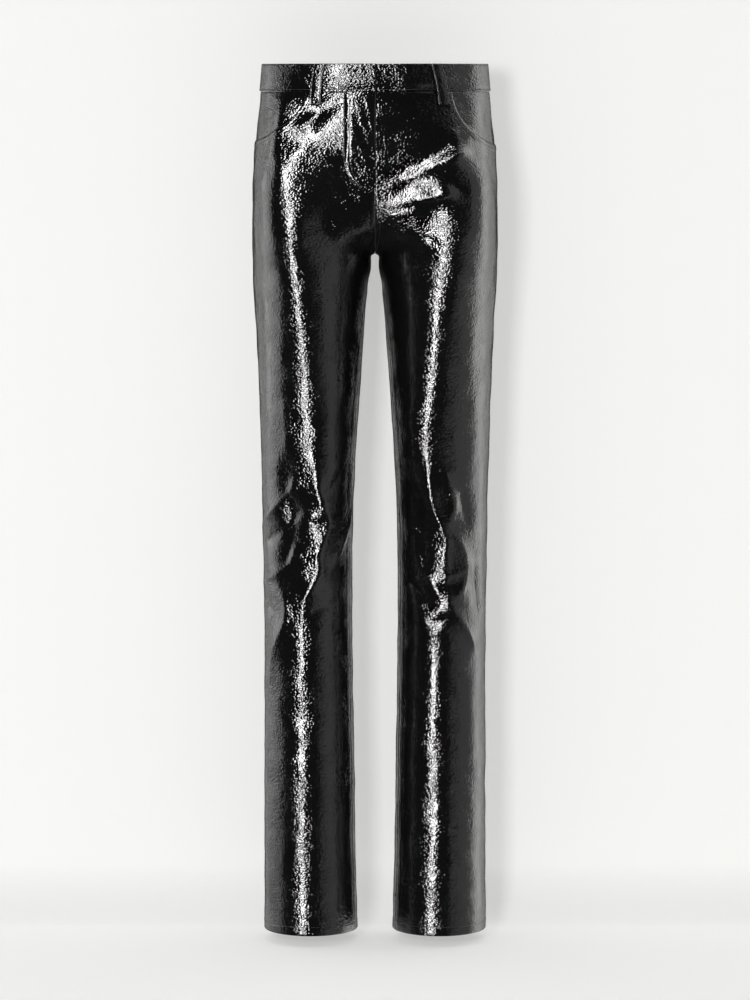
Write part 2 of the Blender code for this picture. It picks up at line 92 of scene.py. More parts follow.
class Wire:
    """An output socket. Operators between wires and numbers add Math nodes."""

    def __init__(self, socket):
        self.socket = socket

    def into(self, socket):
        self.socket.id_data.links.new(self.socket, socket)

    def node(self, kind, settings=None, inputs=None, output=0):
        return add_node(self.socket.id_data, kind, settings, inputs, output)

    def math(self, operation, first, second=0.0):
        return self.node("ShaderNodeMath", {"operation": operation}, {0: first, 1: second})

    def __add__(self, other):
        return self.math("ADD", self, other)

    def __radd__(self, other):
        return self.math("ADD", other, self)

    def __sub__(self, other):
        return self.math("SUBTRACT", self, other)

    def __rsub__(self, other):
        return self.math("SUBTRACT", other, self)

    def __mul__(self, other):
        return self.math("MULTIPLY", self, other)

    def __rmul__(self, other):
        return self.math("MULTIPLY", other, self)

    def __pow__(self, other):
        return self.math("POWER", self, other)

    def __abs__(self):
        return self.math("ABSOLUTE", self)

    def ramp(self, start, end, low=0.0, high=1.0):
        """Smooth step from low at start to high at end."""
        settings = {"interpolation_type": "SMOOTHSTEP"}
        inputs = {0: self, 1: start, 2: end, 3: low, 4: high}
        return self.node("ShaderNodeMapRange", settings, inputs)

    def noise(self, scale, detail, output=0):
        """Noise on these coordinates."""
        inputs = {"Vector": self, "Scale": scale, "Detail": detail}
        return self.node("ShaderNodeTexNoise", None, inputs, output)

    def wave(self, direction, scale, distortion):
        """Wavy bands on these coordinates."""
        inputs = {"Vector": self, "Scale": scale, "Distortion": distortion}
        return self.node("ShaderNodeTexWave", {"bands_direction": direction}, inputs)

    def tint(self, low, high):
        """A colour from low at 0 to high at 1."""
        inputs = {"Factor": self, "A": (*low, 1.0), "B": (*high, 1.0)}
        return self.node("ShaderNodeMix", {"data_type": "RGBA"}, inputs, "Result")

    def bump(self, height, normal=None):
        """Normals of a surface that this wire raises, `height` metres at 1."""
        inputs = {"Height": self, "Distance": height, "Strength": 1.0}
        if normal:
            inputs["Normal"] = normal
        return self.node("ShaderNodeBump", None, inputs)


def new_finish(name):
    """A material, its node tree and its shader's sockets, with nothing wired."""
    material = bpy.data.materials.new(name)
    material.use_nodes = True
    tree = material.node_tree
    return material, tree, tree.nodes["Principled BSDF"].inputs


# %% [markdown]
# ## Patent vinyl
# Patent vinyl is a knit with a thick gloss film on it. The film is nearly black and mirrors the
# studio, so its look is made of two things: what it mirrors, and how it is wrinkled. The film
# has a fine crackle of wrinkles, two to three millimetres apart, which breaks a bright highlight
# into specks, and a softer unevenness where the knit pulls. Both are bumps on Object
# coordinates. The wrinkles run round the leg more than along it, so the pattern is squeezed
# along Z.

# %% Patent vinyl finish
FILM_IOR = 1.52
SQUEEZE = (1.0, 1.0, 1.7)
DRIFT = (0.0035, 0.0035, 0.0035)     # metres by which the wrinkles wander
CRACKLE_HEIGHT = 0.00029
PULL_HEIGHT = 0.00042


def patent_vinyl(name, crackle=1.0):
    material, tree, sockets = new_finish(name)
    sockets["IOR"].default_value = FILM_IOR
    place = add_node(tree, "ShaderNodeTexCoord", output="Object")
    drift = place.node(
        "ShaderNodeVectorMath", {"operation": "MULTIPLY_ADD"},
        {0: place.noise(55.0, 1.0, "Color"), 1: DRIFT, 2: place},
    )
    squeezed = drift.node("ShaderNodeMapping", None, {"Vector": drift, "Scale": SQUEEZE})
    wrinkles = squeezed.noise(370.0, 0.3).ramp(0.28, 0.72)
    patches = place.noise(38.0, 2.0).ramp(0.30, 0.72, 0.45, 1.15)
    fine = (wrinkles * patches).bump(CRACKLE_HEIGHT * crackle)
    squeezed.noise(95.0, 1.5).bump(PULL_HEIGHT, fine).into(sockets["Normal"])
    worn = place.noise(14.0, 3.0)
    worn.ramp(0.3, 0.7, 0.045, 0.090).into(sockets["Roughness"])
    worn.tint((0.0035, 0.0035, 0.0040), (0.0065, 0.0060, 0.0062)).into(sockets["Base Color"])
    print("finish:", name)
    return material


vinyl = patent_vinyl("patent_vinyl")
band_vinyl = patent_vinyl("patent_vinyl_band", 1.35)

# %% [markdown]
# ## Knit backing and thread
# Inside, the film's backing is a dull black knit: rows of tiny loops, made from two waves
# multiplied. The thread is twisted polyester, glossier than the knit and duller than the film.


# %% Backing and thread finishes
def knit_backing():
    material, tree, sockets = new_finish("knit_backing")
    sockets["Sheen Weight"].default_value = 0.15
    place = add_node(tree, "ShaderNodeTexCoord", output="Object")
    loops = place.wave("DIAGONAL", 260.0, 1.2) * place.wave("Z", 230.0, 1.0)
    loops.tint((0.009, 0.009, 0.010), (0.022, 0.021, 0.022)).into(sockets["Base Color"])
    loops.ramp(0.0, 1.0, 0.85, 0.6).into(sockets["Roughness"])
    loops.bump(0.0002).into(sockets["Normal"])
    return material


def sewing_thread():
    material, tree, sockets = new_finish("sewing_thread")
    place = add_node(tree, "ShaderNodeTexCoord", output="Object")
    twist = place.wave("DIAGONAL", 900.0, 0.5)
    twist.tint((0.006, 0.006, 0.007), (0.016, 0.016, 0.017)).into(sockets["Base Color"])
    twist.ramp(0.0, 1.0, 0.42, 0.28).into(sockets["Roughness"])
    twist.bump(0.0001).into(sockets["Normal"])
    return material


backing = knit_backing()
thread = sewing_thread()
print("finishes:", backing.name, thread.name)

# %% [markdown]
# ## The surface that the cloth follows
# The CAD works every wall out from one table of levels. The same table is read here, so each
# sheet lies exactly on its solid, and the creases are added on top. A point of the cloth is
# given by an angle round the leg (0 inside, 90 front, 180 outside, 270 back) and by a drop
# below the waist's edge. Whole arrays of points are worked out at once with numpy, which is
# hundreds of times faster than a loop.

# %% Levels of the CAD surface
OUTSEAM = 1.080
CROTCH = 0.236
BAND = 0.034
GAP = 0.0003
SIDE_SEAM = math.radians(184.5)
SECTIONS = (
    # drop, side_x, inner_x, front_y, back_y, side_y, inseam_deg, crest_x, square, valley
    (0.000, 0.1392, 0.0000, -0.0950, 0.0950, 0.000, 0.0, 0.0000, 0.00, 0.0000),
    (0.034, 0.1418, 0.0000, -0.0985, 0.1020, 0.002, 0.0, 0.0020, 0.06, 0.0000),
    (0.070, 0.1454, 0.0000, -0.1020, 0.1140, 0.005, 0.0, 0.0040, 0.34, 0.0000),
    (0.105, 0.1495, 0.0000, -0.1040, 0.1260, 0.008, 0.0, 0.0200, 0.42, 0.0000),
    (0.128, 0.1508, 0.0000, -0.1047, 0.1315, 0.010, 0.0, 0.0580, 0.45, 0.0020),
    (0.150, 0.1517, 0.0000, -0.1050, 0.1355, 0.012, 0.0, 0.0800, 0.42, 0.0040),
    (0.190, 0.1522, 0.0000, -0.1045, 0.1375, 0.015, 0.0, 0.0965, 0.30, 0.0075),
    (0.236, 0.1524, 0.0000, -0.1005, 0.1290, 0.017, 0.0, 0.0935, 0.14, 0.0060),
    (0.252, 0.1521, 0.0014, -0.0988, 0.1238, 0.017, 2.0, 0.0905, 0.08, 0.0040),
    (0.275, 0.1512, 0.0080, -0.0960, 0.1165, 0.016, 5.5, 0.0880, 0.03, 0.0020),
    (0.320, 0.1481, 0.0125, -0.0915, 0.1050, 0.012, 12.0, 0.0850, 0.00, 0.0000),
    (0.370, 0.1458, 0.0161, -0.0870, 0.0955, 0.009, 17.0, 0.0803, 0.00, 0.0000),
    (0.420, 0.1438, 0.0195, -0.0825, 0.0880, 0.006, 19.0, 0.0735, 0.00, 0.0000),
    (0.480, 0.1421, 0.0234, -0.0778, 0.0810, 0.004, 20.0, 0.0705, 0.00, 0.0000),
    (0.540, 0.1404, 0.0265, -0.0738, 0.0758, 0.002, 20.0, 0.0738, 0.00, 0.0000),
    (0.600, 0.1396, 0.0277, -0.0710, 0.0735, 0.001, 20.0, 0.0790, 0.00, 0.0000),
    (0.670, 0.1385, 0.0282, -0.0690, 0.0745, 0.001, 20.0, 0.0834, 0.00, 0.0000),
    (0.770, 0.1379, 0.0274, -0.0675, 0.0745, 0.001, 20.0, 0.0827, 0.00, 0.0000),
    (0.870, 0.1380, 0.0256, -0.0675, 0.0725, 0.000, 20.0, 0.0818, 0.00, 0.0000),
    (0.970, 0.1383, 0.0244, -0.0685, 0.0710, 0.000, 20.0, 0.0814, 0.00, 0.0000),
    (1.080, 0.1386, 0.0218, -0.0700, 0.0705, 0.000, 20.0, 0.0802, 0.00, 0.0000),
)
LEVELS = np.array(SECTIONS).T
SIDE_X, INNER_X, FRONT_Y, BACK_Y, SIDE_Y, INSEAM_DEG, CREST_X, SQUARE, VALLEY = range(1, 10)
SIGNS = {"right": -1.0, "left": 1.0}
MERGE_HEIGHT = 0.200         # over this height above the crotch the legs become one body
MERGE_BEND = 0.035
ARCH = 0.0055                # the crotch's arch moves the inseams this far out at its top,
ARCH_LENGTH = 0.050          # less and less down to here,
ARCH_ROUND = 0.003           # with a round top
ARCH_REACH = 0.35            # radians round the leg from the inseam
VALLEY_REACH = 0.042
TURN_STEP = 0.01             # radians and metres over which slopes are measured
DROP_STEP = 0.002


def level(column, drop):
    """Smooth value of one column at each drop (a cubic through the rows)."""
    drops = LEVELS[0]
    values = LEVELS[column]
    drop = np.clip(drop, drops[0], drops[-1])
    place = np.clip(np.searchsorted(drops, drop) - 1, 0, len(drops) - 2)
    low = np.maximum(np.arange(len(drops)) - 1, 0)
    high = np.minimum(np.arange(len(drops)) + 1, len(drops) - 1)
    slopes = (values[high] - values[low]) / (drops[high] - drops[low])
    span = drops[place + 1] - drops[place]
    rise = values[place + 1] - values[place]
    t = (drop - drops[place]) / span
    moving = rise != 0.0
    start = slopes[place] * span * moving
    end = slopes[place + 1] * span * moving
    bend = start * t * (1 - t) ** 2 - end * t ** 2 * (1 - t)
    return values[place] + rise * (3 * t ** 2 - 2 * t ** 3) + bend


def merging(drop):
    """1 where the leg is a full ring, falling to 0 where both legs are one body."""
    height = np.clip(CROTCH - drop, 0.0, MERGE_HEIGHT)
    return (1.0 - (height / MERGE_HEIGHT) ** 2) / (1.0 + (height / MERGE_BEND) ** 2)


def ring(drop):
    """Centre and half width of the section seen from above, on the left side."""
    outer = level(SIDE_X, drop)
    inner = level(INNER_X, drop)
    clip = merging(drop)
    body = outer / (1.0 + clip)
    above = drop < CROTCH
    centre = np.where(above, clip * body, (outer + inner) / 2)
    half = np.where(above, body, (outer - inner) / 2)
    return centre, half


def start_angle(drop):
    """The angle of the centre seam above the crotch, or 0 below it."""
    return np.where(drop < CROTCH, np.arccos(np.clip(merging(drop), 0.0, 1.0)), 0.0)


def fade(value, start, end):
    """0 at start, 1 at end, smooth between."""
    t = np.clip((value - start) / (end - start), 0.0, 1.0)
    return t * t * (3 - 2 * t)


def front_bow(across, drop):
    """How far the front stands out at a distance from the centre, 1 at the thigh's crest."""
    across = np.abs(across)
    crest = level(CREST_X, drop)
    outer = np.clip((across - crest) / (level(SIDE_X, drop) - crest), 0.0, 1.0)
    corner = np.sqrt(1.0 - outer ** 2) * (1.0 + level(SQUARE, drop) * outer ** 2)
    above = crest / np.maximum(merging(drop), 0.001)
    reach = np.where(drop < CROTCH, above, crest - level(INNER_X, drop))
    inner = np.clip((crest - across) / np.maximum(reach, 1e-6), 0.0, 1.0)
    depth = level(SIDE_Y, drop) - level(FRONT_Y, drop)
    hollow = level(VALLEY, drop) / depth * fade(crest - across, 0.0, VALLEY_REACH)
    return np.where(across >= crest, corner, np.sqrt(1.0 - inner ** 2) * (1.0 - hollow))


def paired(angle, drop):
    """Angles and drops as arrays of one shape."""
    return np.broadcast_arrays(np.asarray(angle, float), np.asarray(drop, float))


def plain_point(angle, drop):
    """Points of the surface without folds, on the left side."""
    angle, drop = paired(angle, drop)
    centre, half = ring(drop)
    side_y = level(SIDE_Y, drop)
    front = (side_y - level(FRONT_Y, drop)) * front_bow(centre - half * np.cos(angle), drop)
    back = (level(BACK_Y, drop) - side_y) * np.sin(angle)
    out = np.where(np.sin(angle) >= 0.0, front, back)
    below = np.clip(drop - CROTCH, 0.0, ARCH_LENGTH)
    near = 1.0 - np.minimum(below / ARCH_ROUND, 1.0)
    arch = ARCH * np.sqrt(1.0 - near ** 2) * (1.0 - below / ARCH_LENGTH)
    turn = np.minimum(np.abs(angle), np.abs(2 * math.pi - angle))
    spread = arch * np.exp(-(turn / ARCH_REACH) ** 2)
    x = GAP / 2 + centre - half * np.cos(angle) + spread
    return np.stack([x, side_y - out, -drop], axis=-1)


def around_leg(angle, drop):
    """The step round the leg over two small turns."""
    return plain_point(angle + TURN_STEP, drop) - plain_point(angle - TURN_STEP, drop)


def plain_normal(angle, drop):
    """The direction out of the surface. A step down never crosses the crotch."""
    angle, drop = paired(angle, drop)
    low = np.minimum(drop + DROP_STEP, OUTSEAM)
    high = np.maximum(drop - DROP_STEP, 0.0)
    below = drop >= CROTCH
    high = np.where(below, np.maximum(high, CROTCH), high)
    low = np.where(below, low, np.minimum(low, CROTCH - 1e-6))
    down = plain_point(angle, low) - plain_point(angle, high)
    normal = np.cross(down, around_leg(angle, drop))
    return normal / np.linalg.norm(normal, axis=-1, keepdims=True)


def radius(drop):
    """Mean radius of the section, which turns an angle into a length round it."""
    half = ring(drop)[1]
    return (half + 0.5 * (level(BACK_Y, drop) - level(FRONT_Y, drop))) / 2


print("levels:", len(SECTIONS), "knee half width:", round(float(ring(np.array(0.6))[1]), 4))

# %% [markdown]
# ## Folds and creases
# The CAD holds the largest folds. Most are repeated here. Those on the left hip and in front of
# the knees are drawn again, finer, by pixels of the picture, with the other small creases.
# A crease is a line on the cloth with a soft ridge (height above 0) or trough (below 0) along
# it. Its crest is rounded over a small length, because a gloss film shows a crest as a bright
# thread. A crease on the front is placed by pixels of the picture, which is how a modeller
# would trace over a photograph; a ray from the camera finds where each pixel lands.

# %% Large folds of the CAD
FOLDS = (
    # side, angle, drop, angle, drop, width, height
    ("right", 130, 0.080, 114, 0.052, 0.011, -0.0024),
    ("right", 128, 0.108, 114, 0.084, 0.012, 0.0020),
    ("right", 60, 0.205, 100, 0.182, 0.012, 0.0014),
    ("left", 100, 0.262, 150, 0.250, 0.014, 0.0014),
    ("right", 232, 0.520, 300, 0.548, 0.014, 0.0042),
    ("right", 240, 0.584, 318, 0.560, 0.014, 0.0044),
    ("right", 226, 0.628, 292, 0.648, 0.014, 0.0036),
    ("left", 236, 0.532, 306, 0.516, 0.014, 0.0042),
    ("left", 228, 0.572, 300, 0.594, 0.014, 0.0046),
    ("left", 244, 0.650, 306, 0.634, 0.014, 0.0034),
    ("right", 254, 0.276, 300, 0.262, 0.013, 0.0026),
    ("right", 246, 0.312, 304, 0.296, 0.013, 0.0020),
    ("left", 250, 0.268, 298, 0.274, 0.013, 0.0026),
    ("left", 244, 0.318, 300, 0.300, 0.013, 0.0020),
)


def near_segment(angle, drop, size, start, end):
    """Distance of each place from a segment of the cloth, the part along it, and the side."""
    along_x = (end[0] - start[0]) * size
    along_y = end[1] - start[1]
    from_x = (angle - start[0]) * size
    from_y = drop - start[1]
    length = along_x ** 2 + along_y ** 2
    part = np.clip((from_x * along_x + from_y * along_y) / length, 0.0, 1.0)
    off_x = from_x - part * along_x
    off_y = from_y - part * along_y
    hand = np.sign(along_x * off_y - along_y * off_x)
    return np.hypot(off_x, off_y), part, hand


def fold_height(side, angle, drop):
    """Height of the large folds, which are lower at their ends."""
    total = np.zeros_like(drop)
    size = radius(drop)
    for owner, angle_1, drop_1, angle_2, drop_2, width, height in FOLDS:
        if owner != side:
            continue
        start = (math.radians(angle_1), drop_1)
        end = (math.radians(angle_2), drop_2)
        distance, part, _ = near_segment(angle, drop, size, start, end)
        swell = 0.35 + 0.65 * np.sin(math.pi * part)
        total += height * swell * np.exp(-(distance / width) ** 2)
    total *= fade(drop, 0.040, 0.075)
    return total * fade(OUTSEAM - drop, 0.0, 0.030)


# %% [markdown]
# A ray through a pixel of the picture is followed to the plane where the cloth is, the cloth's
# depth there is read, and the two are repeated a few times until they agree.


# %% From a pixel to a place on the cloth
def seen(across, down):
    """Side, angle and drop of the cloth's front under a pixel of the picture."""
    ray = Vector((across - PICTURE[0] / 2, PICTURE[1] / 2 - down, -FOCAL))
    ray.rotate(camera.rotation_euler)
    depth = -0.08
    for _ in range(8):
        point = camera.location + ray * ((depth - camera.location.y) / ray.y)
        drop = min(max(-point.z, 0.0), OUTSEAM)
        centre, half = ring(np.array(drop))
        turn = float(np.arccos(np.clip((centre + GAP / 2 - abs(point.x)) / half, -1.0, 1.0)))
        depth = float(plain_point(turn, drop)[1])
    return ("right" if point.x < 0.0 else "left"), turn, drop


def smooth_line(points, steps=5):
    """A Catmull-Rom curve through a few places."""
    points = [np.array(point, float) for point in points]
    padded = [2 * points[0] - points[1]] + points + [2 * points[-1] - points[-2]]
    line = []
    for index in range(len(points) - 1):
        before, start, end, after = padded[index:index + 4]
        for step in range(steps):
            t = step / steps
            line.append(0.5 * (
                2 * start + (end - before) * t
                + (2 * before - 5 * start + 4 * end - after) * t ** 2
                + (3 * start - before - 3 * end + after) * t ** 3
            ))
    line.append(points[-1])
    return line


# %% Finer creases on the fronts, by pixels of the picture
RIGHT_KNEE = ((314, 446), (317, 474), (317, 484), (320, 497), (323, 509), (328, 522),
              (323, 538), (318, 556), (319, 572), (312, 586), (305, 601), (303, 624))
FRONT_CREASES = (
    # width mm, height mm, crest mm, lean, pixels
    # right hip: the flat plane between the pocket and the fly, and its two edges
    (22.0, 8.3, 4.0, 0.35, ((289, 84), (283, 120), (279, 150), (283, 184))),
    (12.0, 1.6, 3.0, 0.0, ((296, 205), (300, 230), (303, 255))),
    (18.0, -4.0, 6.0, 0.0, ((318, 98), (313, 125), (314, 152))),
    (12.0, 2.2, 2.0, 0.0, ((352, 92), (352, 122), (353, 160))),
    # drag trough from the pocket to the fly, with a ridge above it
    (3.4, -2.0, 1.0, 0.0, ((292, 128), (318, 115), (346, 98))),
    (3.4, 1.2, 0.8, 0.0, ((303, 114), (324, 103), (347, 93))),
    (5.0, -1.2, 1.0, 0.3, ((268, 170), (276, 165), (290, 168))),
    # slack of the fly, in slanting folds
    (4.0, 1.2, 0.8, 0.0, ((357, 99), (362, 120), (372, 145))),
    (4.0, 1.3, 0.8, 0.0, ((366, 96), (371, 118), (374, 140))),
    (4.0, 1.2, 0.8, 0.0, ((354, 128), (361, 146), (366, 170))),
    # left hip: the square corner of the hip, and the slack inside the thigh
    (18.0, 5.5, 3.0, -0.4, ((452, 126), (457, 150), (455, 184))),
    (13.0, 2.6, 4.0, 0.0, ((417, 205), (419, 228), (424, 256))),
    (12.0, 3.0, 1.0, 0.0, ((384, 217), (404, 213), (430, 204))),
    (4.0, -1.2, 0.8, 0.0, ((425, 233), (434, 243), (446, 247))),
    # faint arches out of the crotch
    (6.0, 1.0, 1.5, 0.0, ((368, 226), (345, 212), (318, 206))),
    (6.0, 0.8, 1.5, 0.0, ((370, 240), (350, 228), (328, 224))),
    # right knee: the long ridge that the highlight follows, its trough and its keen middle
    (16.0, 7.0, 1.6, 0.0, RIGHT_KNEE),
    (18.0, -6.5, 6.0, 0.0, ((285, 462), (287, 490), (290, 512), (291, 530), (288, 550), (284, 572),
                            (280, 596))),
    (5.0, 1.8, 0.8, 0.0, RIGHT_KNEE),
    # right knee: folds that run out to the side, and the hollows between them
    (9.0, 4.4, 1.0, 0.2, ((297, 474), (291, 490), (279, 504), (260, 530))),
    (8.0, -2.6, 2.0, 0.0, ((304, 504), (286, 524), (264, 548))),
    (4.0, 1.4, 0.8, 0.0, ((326, 519), (311, 517), (296, 522), (278, 532))),
    (8.0, 4.0, 1.0, 0.2, ((296, 543), (291, 558), (281, 571), (258, 584))),
    (7.0, 3.2, 1.2, 0.0, ((276, 580), (286, 604), (284, 626), (273, 652), (269, 700))),
    (7.0, -2.2, 1.5, 0.0, ((262, 596), (272, 612), (268, 640))),
    (10.0, 2.4, 2.0, 0.0, ((284, 396), (287, 430), (288, 456))),
    # right knee: inner side
    (4.0, 2.2, 0.8, 0.0, ((354, 445), (351, 505), (342, 543), (329, 575))),
    (4.0, -1.8, 1.0, 0.0, ((320, 494), (332, 487), (341, 472))),
    (4.0, 1.6, 0.8, 0.0, ((322, 499), (332, 508), (342, 512))),
    (4.0, -1.6, 1.0, 0.0, ((308, 616), (324, 607), (342, 599))),
    (4.0, 1.6, 0.8, 0.0, ((309, 619), (322, 627), (340, 632))),
    # left knee: the ridge of the highlight, the wedge below it and the break
    (18.0, 3.0, 4.0, 0.0, ((413, 398), (413, 430), (418, 466))),
    (14.0, 5.6, 1.6, 0.0, ((426, 462), (430, 486), (434, 508), (441, 525), (446, 540), (447, 552),
                           (446, 572), (446, 590))),
    (14.0, -5.5, 4.0, 0.0, ((411, 486), (417, 512), (421, 538), (423, 562), (424, 588))),
    (5.0, 1.6, 0.8, 0.0, ((426, 462), (430, 486), (434, 508), (441, 525), (446, 540), (447, 552),
                          (445, 564))),
    (10.0, 4.0, 1.5, 0.0, ((447, 584), (449, 602), (452, 620))),
    (6.0, -3.4, 1.5, 0.0, ((407, 580), (420, 596), (434, 612))),
    (6.0, 2.4, 1.0, 0.0, ((414, 562), (430, 580), (443, 600))),
    (4.0, 1.8, 0.7, 0.0, ((441, 583), (452, 575), (468, 568))),
    (5.0, -2.4, 1.2, 0.0, ((426, 624), (440, 621), (454, 613))),
    (5.0, 2.0, 1.0, 0.0, ((424, 634), (436, 633), (450, 626))),
    # left knee: the pointed facets of the outer side
    (7.0, 4.4, 0.8, 0.0, ((440, 468), (450, 488), (453, 508), (446, 529))),
    (7.0, 4.4, 0.8, 0.0, ((446, 527), (461, 546), (466, 572), (461, 590), (450, 604))),
    (6.0, 3.6, 0.8, 0.0, ((450, 604), (464, 626), (477, 656))),
    (9.0, -3.0, 2.0, 0.0, ((461, 486), (464, 508), (470, 528))),
    (9.0, -3.0, 2.0, 0.0, ((474, 556), (476, 590), (480, 618))),
    (6.0, -1.8, 1.5, 0.0, ((445, 540), (452, 566), (447, 594))),
    # small dents down the shins
    (5.0, -0.9, 1.2, 0.0, ((296, 716), (304, 724), (314, 728))),
    (5.0, 0.8, 1.2, 0.0, ((300, 770), (307, 778), (316, 781))),
    (5.0, -0.8, 1.2, 0.0, ((430, 742), (440, 749), (450, 751))),
    (5.0, 0.8, 1.2, 0.0, ((434, 820), (443, 826), (452, 828))),
)

# %% Drag wedges on the left hip, by pixels of the picture
WEDGES = (
    # apex, end of the crest, end of the far edge, slope, fall below the crest in mm
    ((377, 191), (455, 159), (455, 143), 0.46, 8.0),
    ((386, 206), (446, 195), (454, 166), 0.34, 6.0),
    ((392, 219), (430, 204), (430, 200), 0.35, 4.0),
)


def plain_place(pixel):
    """Side and flat place of a pixel: metres round the leg and metres down it."""
    side, angle, drop = seen(*pixel)
    return side, np.array([angle * float(radius(np.array(drop))), drop])


# %% Similar creases on the sides and backs, by angle and drop
HIDDEN_CREASES = (
    # width mm, height mm, crest mm, lean, (angle, drop) on the right, then on the left
    (4.0, 2.0, 0.8, 0.2, ((222, 0.498), (248, 0.520), (280, 0.534)),
     ((226, 0.514), (254, 0.500), (290, 0.508))),
    (4.0, -1.6, 1.0, 0.0, ((230, 0.548), (262, 0.566), (296, 0.560)),
     ((224, 0.544), (258, 0.556), (292, 0.572))),
    (4.0, 1.8, 0.8, 0.2, ((214, 0.604), (244, 0.596), (276, 0.606), (300, 0.624)),
     ((218, 0.622), (250, 0.616), (284, 0.600))),
    (3.5, 1.4, 0.7, 0.0, ((250, 0.650), (282, 0.664), (310, 0.656)),
     ((240, 0.668), (272, 0.660), (304, 0.668))),
    (5.0, -1.2, 1.2, 0.0, ((196, 0.560), (212, 0.590), (206, 0.640)),
     ((198, 0.600), (214, 0.630), (208, 0.676))),
    (4.0, 1.4, 0.8, 0.0, ((240, 0.262), (264, 0.268), (300, 0.250)),
     ((236, 0.258), (262, 0.266), (298, 0.254))),
    (5.0, 1.0, 1.0, 0.0, ((236, 0.332), (268, 0.322), (300, 0.330)),
     ((240, 0.344), (270, 0.336), (302, 0.344))),
    (3.5, 1.0, 0.8, 0.0, ((236, 0.072), (250, 0.088), (262, 0.112)),
     ((238, 0.070), (252, 0.092), (264, 0.108))),
    (5.0, -0.8, 1.2, 0.0, ((240, 0.780), (262, 0.792), (286, 0.790)),
     ((236, 0.840), (258, 0.848), (280, 0.842))),
)

CREASES = {"right": [], "left": []}


def add_crease(side, width, height, crest, lean, places):
    """Keeps a crease with a smooth line through its places. Sizes come in millimetres."""
    CREASES[side].append((width / 1000, height / 1000, crest / 1000, lean, smooth_line(places)))


for *shape, pixels in FRONT_CREASES:
    found = [seen(*pixel) for pixel in pixels]
    add_crease(found[0][0], *shape, [place[1:] for place in found])
for *shape, on_right, on_left in HIDDEN_CREASES:
    for side, places in (("right", on_right), ("left", on_left)):
        add_crease(side, *shape, [(math.radians(angle), drop) for angle, drop in places])
print("creases:", {side: len(rows) for side, rows in CREASES.items()})


# %% Height of the finer creases
def crease_height(side, angle, drop):
    """Height of the creases. One that leans is wider on one side."""
    total = np.zeros_like(drop)
    size = radius(drop)
    for width, height, crest, lean, line in CREASES[side]:
        best = np.full(drop.shape, 1.0)
        where = np.zeros_like(drop)
        hand = np.zeros_like(drop)
        pieces = len(line) - 1
        for index in range(pieces):
            distance, part, turn = near_segment(angle, drop, size, line[index], line[index + 1])
            closer = distance < best
            best = np.where(closer, distance, best)
            where = np.where(closer, (index + part) / pieces, where)
            hand = np.where(closer, turn, hand)
        wide = width * (1.0 + lean * hand * fade(best, 0.0, width))
        shape = np.exp(-(np.hypot(best, crest) - crest) / wide)
        ends = fade(np.minimum(where, 1.0 - where), -0.08, 0.28)
        total += height * ends * shape
    return total * fade(OUTSEAM - drop, 0.0, 0.030) * fade(drop, BAND, BAND + 0.011)


def wedge_height(side, angle, drop):
    """Flat flanks that open from an apex and break off at a crest."""
    total = np.zeros_like(drop)
    round_leg = angle * radius(drop)
    for apex, end, far, slope, fall in WEDGES:
        owner, start = plain_place(apex)
        if owner != side:
            continue
        crest = plain_place(end)[1] - start
        length = np.linalg.norm(crest)
        crest = crest / length
        upward = plain_place(far)[1] - start
        above = np.array([-crest[1], crest[0]])
        above = above * np.sign(upward @ above)
        opening = (upward @ above) / length
        from_x = round_leg - start[0]
        from_y = drop - start[1]
        along = from_x * crest[0] + from_y * crest[1]
        off = from_x * above[0] + from_y * above[1]
        part = np.clip(along / length, 0.0, 1.0)
        width = opening * length * part
        flank = slope * np.maximum(width - off, 0.0)
        flank = np.where(off < 0.0, slope * width * np.exp(off / (fall / 1000)), flank)
        total += flank * (1.0 - fade(along / length, 1.0, 1.30))
    return total


WAVES = (34.0, 0.0009)       # how many to a metre, and height in metres
PUCKERS = (110.0, 0.00016)
SEAM_SLIT = 0.00004          # a sewn seam is shut, and the CAD's gap is only for its checks
SEAM_REACH = 0.003


def unevenness(points):
    """Soft hand-size waves and small puckers, the same on every run."""
    flat = points.reshape(-1, 3)
    soft = [noise.noise(Vector(point) * WAVES[0]) for point in flat]
    small = [noise.noise(Vector((x, y, z * 1.6)) * PUCKERS[0]) for x, y, z in flat]
    total = WAVES[1] * np.array(soft) + PUCKERS[1] * np.array(small)
    return total.reshape(points.shape[:-1])


def cloth(side, angle, drop, out=0.0):
    """Points of the creased surface, moved out of it by `out`, on the wearer's named side."""
    angle, drop = paired(angle, drop)
    points = plain_point(angle, drop)
    lift = out + fold_height(side, angle, drop) + crease_height(side, angle, drop)
    lift = lift + wedge_height(side, angle, drop)
    calm = fade(OUTSEAM - drop, 0.0, 0.020) * fade(drop, BAND, BAND + 0.016)
    lift = lift + unevenness(points * (SIGNS[side], 1.0, 1.0)) * calm
    points = points + plain_normal(angle, drop) * lift[..., None]
    across = np.maximum(points[..., 0], GAP / 2)
    across = across - (GAP / 2 - SEAM_SLIT / 2) * np.exp((GAP / 2 - across) / SEAM_REACH)
    points[..., 0] = across * SIGNS[side]
    return points


# %% [markdown]
# ## A sheet with two sides
# A sheet of vinyl is a grid of outer points and a grid of inner points, joined round the rim
# into one closed wall. The outer side takes the gloss film, the inner side the knit backing.
# The band and the loops are folded double, so they have film on both sides. A grid is quick, it
# has no stray faces, and its rows can follow a seam as a sewn edge does.

# %% Closed walls from two grids
FINISHES = {"patent_vinyl": (vinyl, backing), "patent_vinyl_band": (band_vinyl, band_vinyl)}
SHARP_DEG = 62


